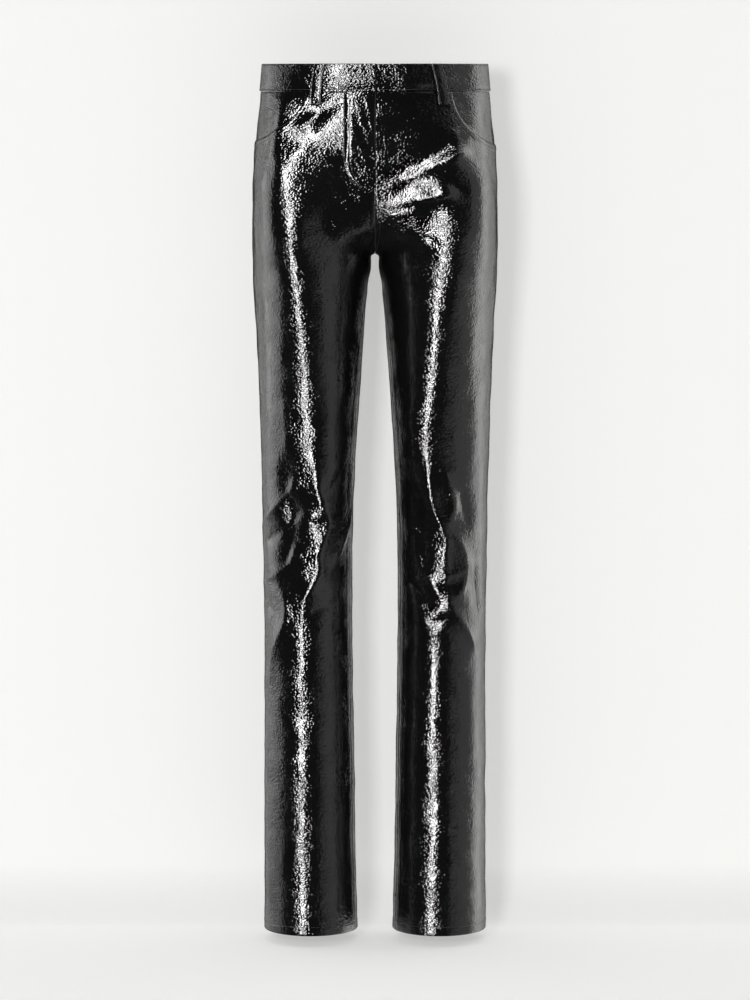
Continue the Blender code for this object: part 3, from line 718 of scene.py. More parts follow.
def new_piece(name, points, faces, finishes):
    """A smooth object at the origin."""
    data = bpy.data.meshes.new(name)
    data.from_pydata(points, [], faces)
    for finish in finishes:
        data.materials.append(finish)
    data.shade_smooth()
    piece = bpy.data.objects.new(name, data)
    bpy.context.scene.collection.objects.link(piece)
    return piece


def closed_wall(name, outside, inside, finishes):
    rows, columns = outside.shape[:2]
    count = rows * columns
    index = np.arange(count).reshape(rows, columns)
    quads = np.stack([index[:-1, :-1], index[1:, :-1], index[1:, 1:], index[:-1, 1:]], axis=-1)
    outer = quads.reshape(-1, 4)
    inner = outer[:, ::-1] + count
    rim = np.concatenate([
        index[0, :-1], index[:-1, -1], index[-1, :0:-1], index[:0:-1, 0],
    ])
    after = np.roll(rim, -1)
    edge = np.stack([rim, after, after + count, rim + count], axis=-1)
    points = np.concatenate([outside.reshape(-1, 3), inside.reshape(-1, 3)])
    faces = np.concatenate([outer, inner, edge])
    first, second, third, fourth = points[faces].transpose(1, 0, 2)
    volume = np.sum(first * (np.cross(second, third) + np.cross(third, fourth)))
    if volume < 0.0:
        faces = faces[:, ::-1]
    piece = new_piece(name, points.tolist(), faces.tolist(), finishes)
    numbers = np.zeros(len(faces), dtype=np.int32)
    numbers[len(outer):2 * len(outer)] = 1
    piece.data.polygons.foreach_set("material_index", numbers)
    piece.data.update()
    piece.data.set_sharp_from_angle(angle=math.radians(SHARP_DEG))
    print(name, "faces:", len(faces))
    return piece


def declare(grid):
    """Works out the size and the area of the flat cut, measured along the grid. The numbers are
    neither printed nor kept.
    """
    across = np.diff(grid, axis=1)
    down = np.diff(grid, axis=0)
    width = float(np.linalg.norm(across, axis=-1).sum(axis=1).max())
    length = float(np.linalg.norm(down, axis=-1).sum(axis=0).max())
    halves = (np.cross(down[:, :-1], across[:-1]), np.cross(down[:, 1:], across[1:]))
    area = sum(float(np.linalg.norm(half, axis=-1).sum()) for half in halves) / 2
    area = min(area, width * length)


def vinyl_sheet(name, node, outside, inside, slot="patent_vinyl"):
    """A closed wall of vinyl that stands for a node of the CAD."""
    piece = closed_wall(name, outside, inside, FINISHES[slot])
    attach(piece, "root")
    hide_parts(node)
    declare(outside)


# %% [markdown]
# ## Sewn edges
# A seam draws the cloth in along its edge, and each line of stitches lies in a shallow groove
# with small puckers across it. All of that depends only on how far a point is from the seam
# and how far along it. So the grid gets narrow columns near its edges, at fixed distances from
# the seam, and wide ones between.

# %% Relief of a sewn edge
STITCH_GROOVE = 0.00020
GROOVE_REACH = 0.00065
PUCKER_REACH = 0.0028


def rolled(distance, depth=0.0008, reach=0.0011):
    """The sunk edge of a seam."""
    return -depth * np.exp(-(distance / reach) ** 2)


def rounding(distance, reach):
    """A rounded edge: 1 at the edge, falling to 0 at `reach` from it."""
    return 1.0 - np.sqrt(1.0 - np.clip(1.0 - distance / reach, 0.0, 1.0) ** 2)


def sewn(distance, along, pucker=0.00022, pitch=0.0062):
    """Groove and puckers of a line of stitches at distance 0."""
    groove = -STITCH_GROOVE * np.exp(-(distance / GROOVE_REACH) ** 2)
    wander = np.sin(along * 97.0) * 1.3 + np.sin(along * 41.0 + 1.0) * 1.7
    ripple = np.sin(2 * math.pi * along / pitch + wander)
    strength = 0.6 + 0.4 * np.sin(along * 61.0 + 2.0)
    return groove + pucker * ripple * strength * np.exp(-(distance / PUCKER_REACH) ** 2)


# %% Distances from a seam
EDGE_STEPS = np.array([
    0.0, 0.0004, 0.0009, 0.0016, 0.0024, 0.0030, 0.0035, 0.0040, 0.0048, 0.0062, 0.0078,
    0.0085, 0.0090, 0.0095, 0.0104, 0.0120,
])
MIDDLE_CELLS = 46
ARC_SAMPLES = 181
PANEL_TOP = BAND + GAP / 2


def cloth_speed(angle, drop):
    """Length round the leg for each radian."""
    return np.linalg.norm(around_leg(angle, drop), axis=-1) / (2 * TURN_STEP)


def seam_angles(drop, face):
    """First and last angle of a front or back panel at a level, half a gap off each seam."""
    drop = np.asarray(drop, float)
    side_gap = GAP / 2 / cloth_speed(SIDE_SEAM, drop)
    inseam = np.radians(level(INSEAM_DEG, drop))
    turn = GAP / 2 / cloth_speed(inseam, drop)
    body = start_angle(drop)
    first = np.where(drop < CROTCH, body, inseam + turn)
    last = 2 * math.pi + np.where(drop < CROTCH, -body, inseam - turn)
    if face == "front":
        return first, SIDE_SEAM - side_gap
    return SIDE_SEAM + side_gap, last


def arc_table(first, last, drop):
    """Angles and lengths along a level of the cloth."""
    angles = np.linspace(first, last, ARC_SAMPLES)
    points = plain_point(angles, drop)
    steps = np.linalg.norm(np.diff(points, axis=0), axis=-1)
    return angles, np.concatenate([[0.0], np.cumsum(steps)])


def level_row(face, drop):
    """Angles of one level row of a panel, and its distances from the first and last seam."""
    angles, reached = arc_table(*seam_angles(drop, face), drop)
    middle = np.linspace(EDGE_STEPS[-1], reached[-1] - EDGE_STEPS[-1], MIDDLE_CELLS + 1)[1:-1]
    places = np.concatenate([EDGE_STEPS, middle, reached[-1] - EDGE_STEPS[::-1]])
    return np.interp(places, reached, angles), places, reached[-1] - places


def side_by_side(values, columns):
    """The same column of values, repeated."""
    return np.repeat(np.asarray(values)[:, None], columns, axis=1)


# %% [markdown]
# ## Pocket mouths
# The mouth is a quarter of a superellipse between the band and the side seam. Offset curves of
# it give the panel rows that follow the mouth, so the turned edge and its two lines of stitches
# are real relief.

# %% Pocket mouths
POCKETS = {"right": (57.5, 0.0645), "left": (52.5, 0.0695)}     # reach in degrees, depth
MOUTH_TOP = 0.030
MOUTH_POWER = 2 / 2.5
MOUTH_ANGLE = 2.27
MOUTH_STITCHES = (0.0018, 0.0064)


def pocket_mouth(side, away, turns):
    """Angles and drops of the curve `away` metres outside the pocket mouth."""
    reach_deg, depth = POCKETS[side]
    top = PANEL_TOP + max(away, 0.0)
    depth = depth + away
    end = seam_angles(PANEL_TOP, "front")[1]
    first = math.asin(((top - MOUTH_TOP) / depth) ** (1 / MOUTH_POWER))
    turn = np.linspace(first, math.pi / 2, turns + 1)
    drop = MOUTH_TOP + depth * np.sin(turn) ** MOUTH_POWER
    reach = math.radians(reach_deg) + away / cloth_speed(MOUTH_ANGLE, drop)
    return end - reach * np.maximum(np.cos(turn), 0.0) ** MOUTH_POWER, drop


# %% [markdown]
# ## Front and back panels
# The top rows of a front follow the band and the pocket mouth, then settle into level rows
# that run down to the hem. A back has level rows all the way. The columns follow the centre
# seam, then the inseam, and on the other side the side seam.

# %% Rows of a panel
VINYL = 0.0012               # thickness of the film and its backing
MOUTH_TURNS = 44
BLEND_ROWS = 28
TOP_END = 0.118              # the first full level of a front, below the pocket mouth
ROW_STEP = 0.0027
MOUTH_STEPS = (0.0, 0.0004, 0.0009, 0.0014, 0.0018, 0.0024, 0.0034, 0.0048, 0.0060, 0.0064,
               0.0069, 0.0076, 0.0090)
HEM_TOP = 0.0215
HEM_ROWS = (0.0190, 0.0160, 0.0135, 0.0118, 0.0112, 0.0108, 0.0104, 0.0096, 0.0080, 0.0060,
            0.0042, 0.0028, 0.0018, 0.0010, 0.0005, 0.0002, 0.0)


def panel_rows(face):
    """Angles, drops and seam distances of the level rows, from under the pocket to the hem."""
    steps = int((OUTSEAM - HEM_TOP - TOP_END) / ROW_STEP)
    drops = np.concatenate([
        np.linspace(TOP_END, OUTSEAM - HEM_TOP, steps), OUTSEAM - np.array(HEM_ROWS),
    ])
    rows = [level_row(face, drop) for drop in drops]
    angles, first, last = (np.array(values) for values in zip(*rows))
    return angles, side_by_side(drops, angles.shape[1]), first, last


def back_top_rows(columns):
    """Angles and drops of a back's rows over the first full level, and distances from the band."""
    tops = np.concatenate([
        PANEL_TOP + np.array(MOUTH_STEPS), np.linspace(BAND + 0.0092, TOP_END, BLEND_ROWS)[1:-1],
    ])
    rows = [level_row("back", drop)[0] for drop in tops]
    return np.array(rows), side_by_side(tops, columns), side_by_side(tops - BAND, columns)


def front_top_rows(side, angles, drops):
    """The same for a front, whose rows follow the band and then the pocket mouth."""
    rows = []
    levels = []
    columns = len(angles)
    straight = columns - MOUTH_TURNS
    for away in MOUTH_STEPS:
        mouth_angle, mouth_drop = pocket_mouth(side, away, MOUTH_TURNS)
        top = PANEL_TOP + away
        arc, reached = arc_table(seam_angles(top, "front")[0], mouth_angle[0], top)
        even = np.linspace(EDGE_STEPS[-1], reached[-1], straight - len(EDGE_STEPS) + 1)[1:]
        line = np.interp(np.concatenate([EDGE_STEPS, even]), reached, arc)
        rows.append(np.concatenate([line, mouth_angle[1:]]))
        levels.append(np.concatenate([np.full(straight, top), mouth_drop[1:]]))
    blend = (np.arange(1, BLEND_ROWS) / BLEND_ROWS)[:, None]
    rows = np.concatenate([rows, rows[-1] + (angles - rows[-1]) * blend])
    levels = np.concatenate([levels, levels[-1] + (drops - levels[-1]) * blend])
    away = np.concatenate([MOUTH_STEPS, np.full(BLEND_ROWS - 1, 0.02)])
    return rows, levels, side_by_side(away, columns)


# %% Relief of a panel
STITCH_LINES = (0.0035, 0.0090)      # distances of the inseam's stitches from its edge
RISE_GROOVES = (0.0020, 0.0062)
BACK_STITCH = 0.0026
HEM_STITCH = 0.0108
INSEAM_FROM = 0.246
FLY_END = 0.160


def seam_relief(face, along, first, last):
    """Relief of the seams at their distances, and the raised felled inseam on the front."""
    below = fade(along, CROTCH - 0.004, INSEAM_FROM)
    if face == "front":
        under_fly = 1.0 - fade(along, FLY_END - 0.010, FLY_END + 0.010)
        total = (1.0 - 0.75 * under_fly) * rolled(first) + rolled(last, 0.0007)
        total = total + 0.0004 * below * (1.0 - fade(first, 0.0095, 0.0120))
        for place in STITCH_LINES:
            total = total + below * sewn(first - place, along)
        rise = fade(along, FLY_END, FLY_END + 0.006) * (1.0 - below)
        for place in RISE_GROOVES:
            total = total + rise * sewn(first - place, along)
    else:
        total = rolled(last) + rolled(first, 0.0007)
        total = total + sewn(last - BACK_STITCH, along + 0.3) * 0.5
    hem = OUTSEAM - along - HEM_STITCH
    return total + sewn(hem, 0.0015 * np.arange(1, first.shape[1] + 1), 0.00015)


def hem_relief(drop):
    """The rounded fold at the bottom and the groove of the hem stitch."""
    low = OUTSEAM - drop
    return 0.00025 * (1.0 - fade(low, 0.0112, 0.0128)) - 0.0013 * rounding(low, 0.0014)


def mouth_relief(away):
    """The turned edge of a pocket mouth and its two lines of stitches."""
    columns = np.arange(away.shape[1])
    start = columns[-1] - MOUTH_TURNS
    relief = 0.0004 * (1.0 - fade(away, 0.0066, 0.0090))
    for place in MOUTH_STITCHES:
        relief = relief + sewn(away - place, 0.0024 * (columns + 1), 0.00026)
    return relief * fade(columns, start, start + 2)


# %% Front and back panels
def panel(side, face):
    angles, drops, first, last = panel_rows(face)
    relief = seam_relief(face, drops, first, last) + hem_relief(drops)
    if face == "front":
        top_angles, top_drops, away = front_top_rows(side, angles[0], drops[0])
    else:
        top_angles, top_drops, away = back_top_rows(angles.shape[1])
    starts, stops = seam_angles(top_drops, face)
    top_first = (top_angles - starts) * cloth_speed(starts, top_drops)
    top_last = (stops - top_angles) * cloth_speed(stops, top_drops)
    top_relief = seam_relief(face, top_drops, top_first, top_last) + rolled(away, 0.0009)
    if face == "front":
        top_relief = top_relief + mouth_relief(away)
    angles = np.concatenate([top_angles, angles])
    drops = np.concatenate([top_drops, drops])
    relief = np.concatenate([top_relief, relief])
    outside = cloth(side, angles, drops, relief)
    low = OUTSEAM - drops
    inner = -VINYL - 0.0010 * (1.0 - fade(low, 0.011, 0.013)) + np.maximum(0.0011 - low, 0.0)
    inside = cloth(side, angles, drops, np.minimum(inner, relief - 0.0003))
    vinyl_sheet(f"vinyl_{face}_{side}", f"{face}_{side}", outside, inside)


for side in SIGNS:
    for face in ("front", "back"):
        panel(side, face)

# %% [markdown]
# ## Pocket facings
# Behind each mouth a second piece of vinyl carries the hip on up to the band. It lies a little
# deeper than the front, and runs on under it, so the mouth reads as an opening.

# %% Pocket facings
FACING_THICK = 0.0009
FACING_ROWS = 30


def pocket_facing(side):
    """A grid between the mouth's curve and the straight edges at the band and the side seam."""
    low_angle, low_drop = pocket_mouth(side, 0.004, MOUTH_TURNS)
    low_drop = np.maximum(low_drop, PANEL_TOP)
    seam = seam_angles(PANEL_TOP, "front")[1]
    part = np.arange(MOUTH_TURNS + 1) / (MOUTH_TURNS // 2)
    high_angle = low_angle[0] + (seam - low_angle[0]) * np.clip(part, 0.0, 1.0)
    high_drop = PANEL_TOP + (low_drop[-1] - PANEL_TOP) * np.clip(part - 1.0, 0.0, 1.0)
    step = np.linspace(0.0, 1.0, FACING_ROWS)[:, None]
    angles = low_angle + (high_angle - low_angle) * step
    drops = low_drop + (high_drop - low_drop) * step
    out = -0.0016 + 0.0013 * fade(step, 0.25, 1.0) + rolled(drops - PANEL_TOP, 0.0006)
    outside = cloth(side, angles, drops, out)
    inside = cloth(side, angles, drops, out - FACING_THICK)
    vinyl_sheet(f"vinyl_pocket_{side}", f"pocket_facing_{side}", outside, inside)


for side in SIGNS:
    pocket_facing(side)

# %% [markdown]
# ## Waistband
# The band is two halves, joined at the centre back. At the centre front the right half laps
# over the left one, which runs on under it. Each half is folded over at the waist's edge, so
# its top is round, and it is stitched just inside both edges.

# %% Waistband
WAIST_HALF = 0.139
BAND_PROUD = 0.0010
BAND_THICK = 0.0030
BAND_EDGE = 0.0012
BAND_BULGE = 0.0011          # a soft roll, a little below the middle
BAND_LEAN = 0.0028           # how far the front's lower edge is drawn in
BAND_COLUMNS = 250
BAND_ROWS = (0.0, 0.0003, 0.0007, 0.0013, 0.0017, 0.0021, 0.0030, 0.0050, 0.0075, 0.0100,
             0.0130, 0.0160, 0.0190, 0.0220, 0.0245, 0.0268, 0.0288, 0.0304, 0.0312, 0.0317,
             0.0322, 0.0328, 0.0333, 0.0337, 0.03385)
LAP_STEPS = np.array([0.0130, 0.0090, 0.0060, 0.0040, 0.0024, 0.0013, 0.0006, 0.0002, 0.0])
BAND_STITCHES = (0.0017, 0.0317)


def band_grid(turns, drops, out):
    """Points of the band. Turns are radians from the centre front, below 0 on the right."""
    angle, drop = np.broadcast_arrays(math.pi / 2 + np.abs(turns), drops)
    points = plain_point(angle, drop)
    soft = unevenness(points + 0.4) * 0.7
    points = points + plain_normal(angle, drop) * (out + soft)[..., None]
    points[..., 0] *= np.where(turns < 0.0, -1.0, 1.0)
    return points


def turn_for(length):
    return length / float(ring(np.array(0.0))[1])


def band_turns(side):
    """Turns of the columns, how deep each is sunk, and its distance from the lap's end."""
    lap = turn_for(0.0010)
    if side == "right":
        turns = np.concatenate([[-math.pi], -np.linspace(math.pi - 0.004, 0.02, BAND_COLUMNS)])
        ends = lap - LAP_STEPS / WAIST_HALF
        turns = np.concatenate([turns[turns < ends[0] - 0.005], ends])
        return turns, np.zeros_like(turns), (lap - turns) * WAIST_HALF
    start = lap + turn_for(0.0006)
    turns = np.concatenate([
        np.linspace(-turn_for(0.030), start, 14),
        start + np.linspace(0.0, turn_for(0.006), 8)[1:],
        np.linspace(start + turn_for(0.0085), math.pi, BAND_COLUMNS),
    ])
    risen = fade(turns, start, start + turn_for(0.050))
    return turns, -(BAND_THICK + GAP) * (1.0 - risen), np.full_like(turns, 0.05)


def waistband(side):
    drops = np.array(BAND_ROWS)[:, None]
    turns, sunk, front_edge = band_turns(side)
    out = BAND_PROUD + sunk - 0.0008 * rounding(front_edge, 0.0009)
    out = out + rolled((math.pi - np.abs(turns)) * WAIST_HALF, 0.0008)
    for distance in (drops, BAND - drops):
        out = out - 0.9 * BAND_EDGE * rounding(distance, BAND_EDGE)
    for place in BAND_STITCHES:
        out = out + sewn(drops - place, turns * WAIST_HALF, 0.00024)
    bulge = BAND_BULGE * np.exp(-((drops - 0.0225) / 0.0052) ** 2)
    bulge = bulge - BAND_LEAN * fade(drops, 0.0215, 0.0335)
    out = out + bulge * np.maximum(np.cos(turns), 0.0) ** 2
    inner = BAND_PROUD - BAND_THICK + 0.0002 + sunk
    outside = band_grid(turns, drops, out)
    inside = band_grid(turns, drops, np.minimum(inner, out - 0.0006))
    name = f"waistband_{side}"
    vinyl_sheet(f"vinyl_{name}", name, outside, inside, slot="patent_vinyl_band")


for side in SIGNS:
    waistband(side)

# %% [markdown]
# ## Fly flap
# The zip is hidden. What shows is the right front, folded back along the centre line and held
# down by the two lines of the J stitch. The flap is made from the front's own points, moved
# out: thick at the fold, and thinned to nothing where the J holds it down.

# %% Fly flap
FLY_WIDTH = 0.0352
FLY_BOTTOM = 0.1560
FLY_ROUND = 0.042
FLY_OVER = 0.0010               # the fold lies this far past the centre line
J_LINES = (0.0010, 0.0078)      # distances of the stitches from the flap's outer edge
FLY_EDGE_STEPS = np.array([0.0, 0.0003, 0.0007, 0.0010, 0.0013, 0.0018, 0.0026, 0.0040, 0.0056,
                           0.0072, 0.0078, 0.0084, 0.0096])
FLY_FOLD_STEPS = np.array([0.0040, 0.0028, 0.0018, 0.0010, 0.0005, 0.0002, 0.0])


def fly_places():
    """Places across and down the flap, and their distances from its edge and from its fold."""
    foot = FLY_BOTTOM - FLY_ROUND
    rounded = foot + FLY_ROUND * np.sin(np.linspace(0.0, math.pi / 2, 26))[1:]
    drops = np.concatenate([np.linspace(BAND + GAP, foot, 34), rounded])[:, None]
    down = np.clip((drops - foot) / FLY_ROUND, 0.0, 1.0)
    widths = FLY_WIDTH * np.sqrt(np.maximum(1.0 - down ** 2, 0.0)) + 0.0036 + FLY_OVER
    scale = np.minimum(1.0, widths / 0.030)
    near = FLY_EDGE_STEPS * scale
    fold = widths - FLY_FOLD_STEPS * scale
    even = np.linspace(near[:, -1], fold[:, 0], 16, axis=1)[:, 1:-1]
    from_edge = np.concatenate([near, even, fold], axis=1)
    from_fold = widths - from_edge
    return FLY_OVER - from_fold, drops + 0.0 * from_edge, from_edge, from_fold


def fly_points(x, drop, out):
    """Points over the centre front at x, on either side of the centre line."""
    start = start_angle(drop)
    step = plain_point(start + 0.01, drop) - plain_point(start + 0.0001, drop)
    turn = start + np.abs(x) / (np.linalg.norm(step, axis=-1) / 0.0099)
    right = cloth("right", turn, drop, out)
    left = cloth("left", turn, drop, out)
    return np.where((x < 0.0)[..., None], right, left)


def fly_lift(from_edge):
    return 0.0002 + 0.0013 * fade(from_edge, 0.0, 0.0065)


def fly_flap():
    x, drop, from_edge, from_fold = fly_places()
    lift = fly_lift(from_edge) - 0.0009 * rounding(from_fold, 0.0010)
    for place in J_LINES:
        lift = lift + sewn(from_edge - place, drop, 0.00026)
    waves = 0.0004 * np.sin(drop * 340.0 + 5.0 * np.sin(drop * 70.0)) * fade(from_edge, 0.009, 0.02)
    lift = lift + waves * (1.0 - fade(-from_fold, -0.006, 0.0))
    outside = fly_points(x, drop, lift)
    inside = fly_points(x, drop, np.minimum(0.0001, lift - 0.0002))
    vinyl_sheet("vinyl_fly", "fly_flap", outside, inside)


fly_flap()

# %% [markdown]
# ## Belt loops
# A loop is a narrow strip with both long edges turned under and stitched. It is sewn down at
# the band's top and below the band, and it stands off slackly between.

# %% Belt loops
LOOPS = (
    # node, side, top angle, bottom angle
    ("belt_loop_front_right", "right", 119.0, 120.5),
    ("belt_loop_front_left", "left", 122.5, 126.0),
    ("belt_loop_back_right", "right", 222.0, 222.0),
    ("belt_loop_back_left", "left", 222.0, 222.0),
    ("belt_loop_centre_back", "left", 270.0, 270.0),
)
LOOP_WIDTH = 0.0145
LOOP_TOP = 0.0008
LOOP_BOTTOM = 0.0505
LOOP_THICK = 0.0016
LOOP_EDGE = 0.0010
LOOP_SLACK = 0.0024
LOOP_STITCH = 0.0052
LOOP_BARS = (LOOP_TOP + 0.0030, LOOP_BOTTOM - 0.0018, LOOP_BOTTOM - 0.0040)
LOOP_HALF = np.array([0.8, 2.4, 3.8, 4.7, 5.2, 5.7, 6.3, 6.8, 7.1, 7.25]) / 1000


def loop_place(top_deg, bottom_deg, across, drop):
    """Angle of a place on a loop, and its height over the band and the panel."""
    part = (drop - LOOP_TOP) / (LOOP_BOTTOM - LOOP_TOP)
    middle = np.radians(top_deg + (bottom_deg - top_deg) * part)
    slack = LOOP_SLACK * np.sin(math.pi * np.clip(part, 0.0, 1.0)) ** 1.5
    on_band = 1.0 - fade(drop, BAND + 0.004, BAND + 0.010)
    return middle + across / cloth_speed(middle, drop), GAP + slack + BAND_PROUD * on_band


def over_band(side, angle, drop, out):
    """Points over the band, on the other side too where the loop crosses the centre back."""
    here = cloth(side, angle, drop, out)
    other = "right" if side == "left" else "left"
    there = cloth(other, 3 * math.pi - angle, drop, out)
    return np.where((angle > 3 * math.pi / 2)[..., None], there, here)


def belt_loop(node, side, top_deg, bottom_deg):
    drops = np.concatenate([
        LOOP_TOP + np.array([0.0, 0.0003, 0.0008, 0.0015, 0.0025]),
        np.linspace(LOOP_TOP + 0.004, LOOP_BOTTOM - 0.005, 34),
        LOOP_BOTTOM - np.array([0.0042, 0.0034, 0.0026, 0.0018, 0.0010, 0.0005, 0.0002, 0.0]),
    ])
    across, drop = np.meshgrid(np.concatenate([-LOOP_HALF[::-1], LOOP_HALF]), drops)
    angle, lift = loop_place(top_deg, bottom_deg, across, drop)
    from_side = LOOP_WIDTH / 2 - np.abs(across)
    edge = np.minimum(from_side, np.minimum(drop - LOOP_TOP, LOOP_BOTTOM - drop))
    relief = LOOP_THICK - LOOP_EDGE * rounding(edge, LOOP_EDGE)
    relief = relief + sewn(np.abs(across) - LOOP_STITCH, drop + across, 0.00012, 0.0048)
    relief = relief + 0.00035 * np.exp(-(across / 0.0030) ** 2)
    for place in LOOP_BARS:
        relief = relief + rolled(drop - place, 0.0004, 0.0008)
    outside = over_band(side, angle, drop, lift + relief)
    inside = over_band(side, angle, drop, lift)
    vinyl_sheet(f"vinyl_{node}", node, outside, inside, slot="patent_vinyl_band")


for row in LOOPS:
    belt_loop(*row)

# %% [markdown]
# ## Stitches
# One stitch is modelled: a small sphere, drawn out along X and bowed down at both ends,
# where the thread goes into the cloth. Then it is copied along every line of sewing. The copies
# of one line are one mesh, which keeps thousands of stitches light.

# %% One stitch
STITCH_SIZE = (0.0027, 0.00062, 0.00052)
STITCH_PITCH = 0.0033
STITCH_REACH = 0.0011        # half the length over which a stitch takes its direction


def one_stitch():
    bpy.ops.object.select_all(action="DESELECT")
    bpy.ops.mesh.primitive_uv_sphere_add(segments=6, ring_count=5, radius=0.5)
    shape = bpy.context.object
    bpy.ops.object.mode_set(mode="EDIT")
    bpy.ops.mesh.select_all(action="SELECT")
    bpy.ops.transform.rotate(
        value=math.pi / 2, orient_axis="Y", center_override=(0.0, 0.0, 0.0)
    )
    bpy.ops.transform.resize(value=STITCH_SIZE, center_override=(0.0, 0.0, 0.0))
    bpy.ops.object.mode_set(mode="OBJECT")
    points = np.array([vertex.co[:] for vertex in shape.data.vertices])
    points[:, 2] += 0.00018 - 0.00042 * (points[:, 0] / (STITCH_SIZE[0] / 2)) ** 2
    faces = [list(face.vertices) for face in shape.data.polygons]
    bpy.data.objects.remove(shape, do_unlink=True)
    print("one stitch:", len(faces), "faces")
    return points, faces


STITCH_POINTS, STITCH_FACES = one_stitch()


# %% Lines of stitches
def stitch_line(line, outward):
    """Stitches along a line of points, each laid flat against the cloth below it."""
    steps = np.linalg.norm(np.diff(line, axis=0), axis=-1)
    reached = np.concatenate([[0.0], np.cumsum(steps)])
    count = max(int(reached[-1] / STITCH_PITCH), 1)
    places = (np.arange(count) + 0.5) * reached[-1] / count

    def at(lengths, values):
        return np.stack([np.interp(lengths, reached, column) for column in values.T], axis=-1)

    ahead = at(places + STITCH_REACH, line) - at(places - STITCH_REACH, line)
    ahead /= np.linalg.norm(ahead, axis=-1, keepdims=True)
    up = at(places, outward)
    up -= ahead * np.sum(up * ahead, axis=-1, keepdims=True)
    up /= np.linalg.norm(up, axis=-1, keepdims=True)
    axes = np.stack([ahead, np.cross(up, ahead), up], axis=1)
    return (at(places, line)[:, None, :] + STITCH_POINTS @ axes).reshape(-1, 3)


def sew(name, lines):
    """One mesh from several lines of stitches."""
    points = np.concatenate([stitch_line(*line) for line in lines])
    size = len(STITCH_POINTS)
    copies = len(points) // size
    faces = [
        [corner + size * copy for corner in face]
        for copy in range(copies) for face in STITCH_FACES
    ]
    piece = new_piece(name, points.tolist(), faces, [thread])
    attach(piece, "root")
    print(name, "stitches:", copies)


def line_on(surface, *place, out=0.0):
    """A line of points at a height over a surface, and the directions out of it."""
    line = surface(*place, out)
    return line, surface(*place, out + 0.001) - line


# %% Seams of the legs, the hems and the centre front
def seam_line(side, face, drops, length, out=0.0):
    """A line at a fixed length from a panel's first seam, or from its last if below 0."""
    found = []
    for drop in drops:
        angles, reached = arc_table(*seam_angles(drop, face), drop)
        wanted = length if length >= 0.0 else reached[-1] + length
        found.append(np.interp(wanted, reached, angles))
    return line_on(cloth, side, np.array(found), drops, out=out)


leg_drops = np.arange(INSEAM_FROM, OUTSEAM - 0.002, 0.004)
rise_drops = np.arange(0.166, CROTCH - 0.002, 0.003)
back_drops = np.arange(BAND + 0.003, CROTCH - 0.002, 0.004)
hem_drop = OUTSEAM - HEM_STITCH
for side in SIGNS:
    lines = [seam_line(side, "front", leg_drops, place, 0.0001) for place in STITCH_LINES]
    sew(f"thread_inseam_{side}", lines)
    sew(f"thread_hem_{side}", [
        line_on(cloth, side, np.linspace(*seam_angles(hem_drop, face), 160), hem_drop)
        for face in ("front", "back")
    ])

sew("thread_front_rise", [
    seam_line("left", "front", rise_drops, place, -0.0001) for place in (0.0024, 0.0062)
])
sew("thread_back_rise", [seam_line("left", "back", back_drops, -BACK_STITCH)])

# %% Pocket mouths, fly, band and loops
for side in SIGNS:
    sew(f"thread_pocket_{side}", [
        line_on(cloth, side, *pocket_mouth(side, place, 120), out=0.0002)
        for place in MOUTH_STITCHES
    ])

x, drop, from_edge, from_fold = fly_places()
fly_lines = []
for place in J_LINES:
    line_x = np.array([np.interp(place, row, xs) for row, xs in zip(from_edge, x)])
    keep = drop[:, 0] < FLY_BOTTOM - 0.001 - place * 0.6
    out = fly_lift(place) - 0.0001
    fly_lines.append(line_on(fly_points, line_x[keep], drop[keep, 0], out=out))
sew("thread_fly", fly_lines)

band_sewing = np.linspace(turn_for(0.003), math.pi - 0.01, 400)
sew("thread_waistband", [
    line_on(band_grid, sign * band_sewing, place, out=BAND_PROUD - 0.0001)
    for place in BAND_STITCHES for sign in (-1.0, 1.0)
])


def loop_line(side, top_deg, bottom_deg, across, drops, out):
    angle, lift = loop_place(top_deg, bottom_deg, across, drops)
    return line_on(over_band, side, angle, drops, out=lift + out)


loop_drops = np.linspace(LOOP_TOP + 0.0015, LOOP_BOTTOM - 0.001, 40)
bar_across = np.linspace(-0.0064, 0.0064, 12)
loop_lines = []
for _, *where in LOOPS:
    for across in (-LOOP_STITCH, LOOP_STITCH):
        loop_lines.append(loop_line(*where, across, loop_drops, 0.0014))
    for bar in LOOP_BARS:
        loop_lines.append(loop_line(*where, bar_across, bar, 0.0013))
sew("thread_loops", loop_lines)

# %% [markdown]
# ## The floor and the backdrop
# The trousers hang just clear of a pale floor, which rises in a round cove to a wall close
# behind them, so that they throw the soft shadow beside each leg. A glossy black thing shows
# all that is round it, and a mirrored pale wall would wash it out. So the stage is hidden from
# mirror rays, and the wall is clear from behind, for views of the back. Its paper is lit from
# all sides in the picture. A glow of its own stands for that, and keeps the shadow pale.


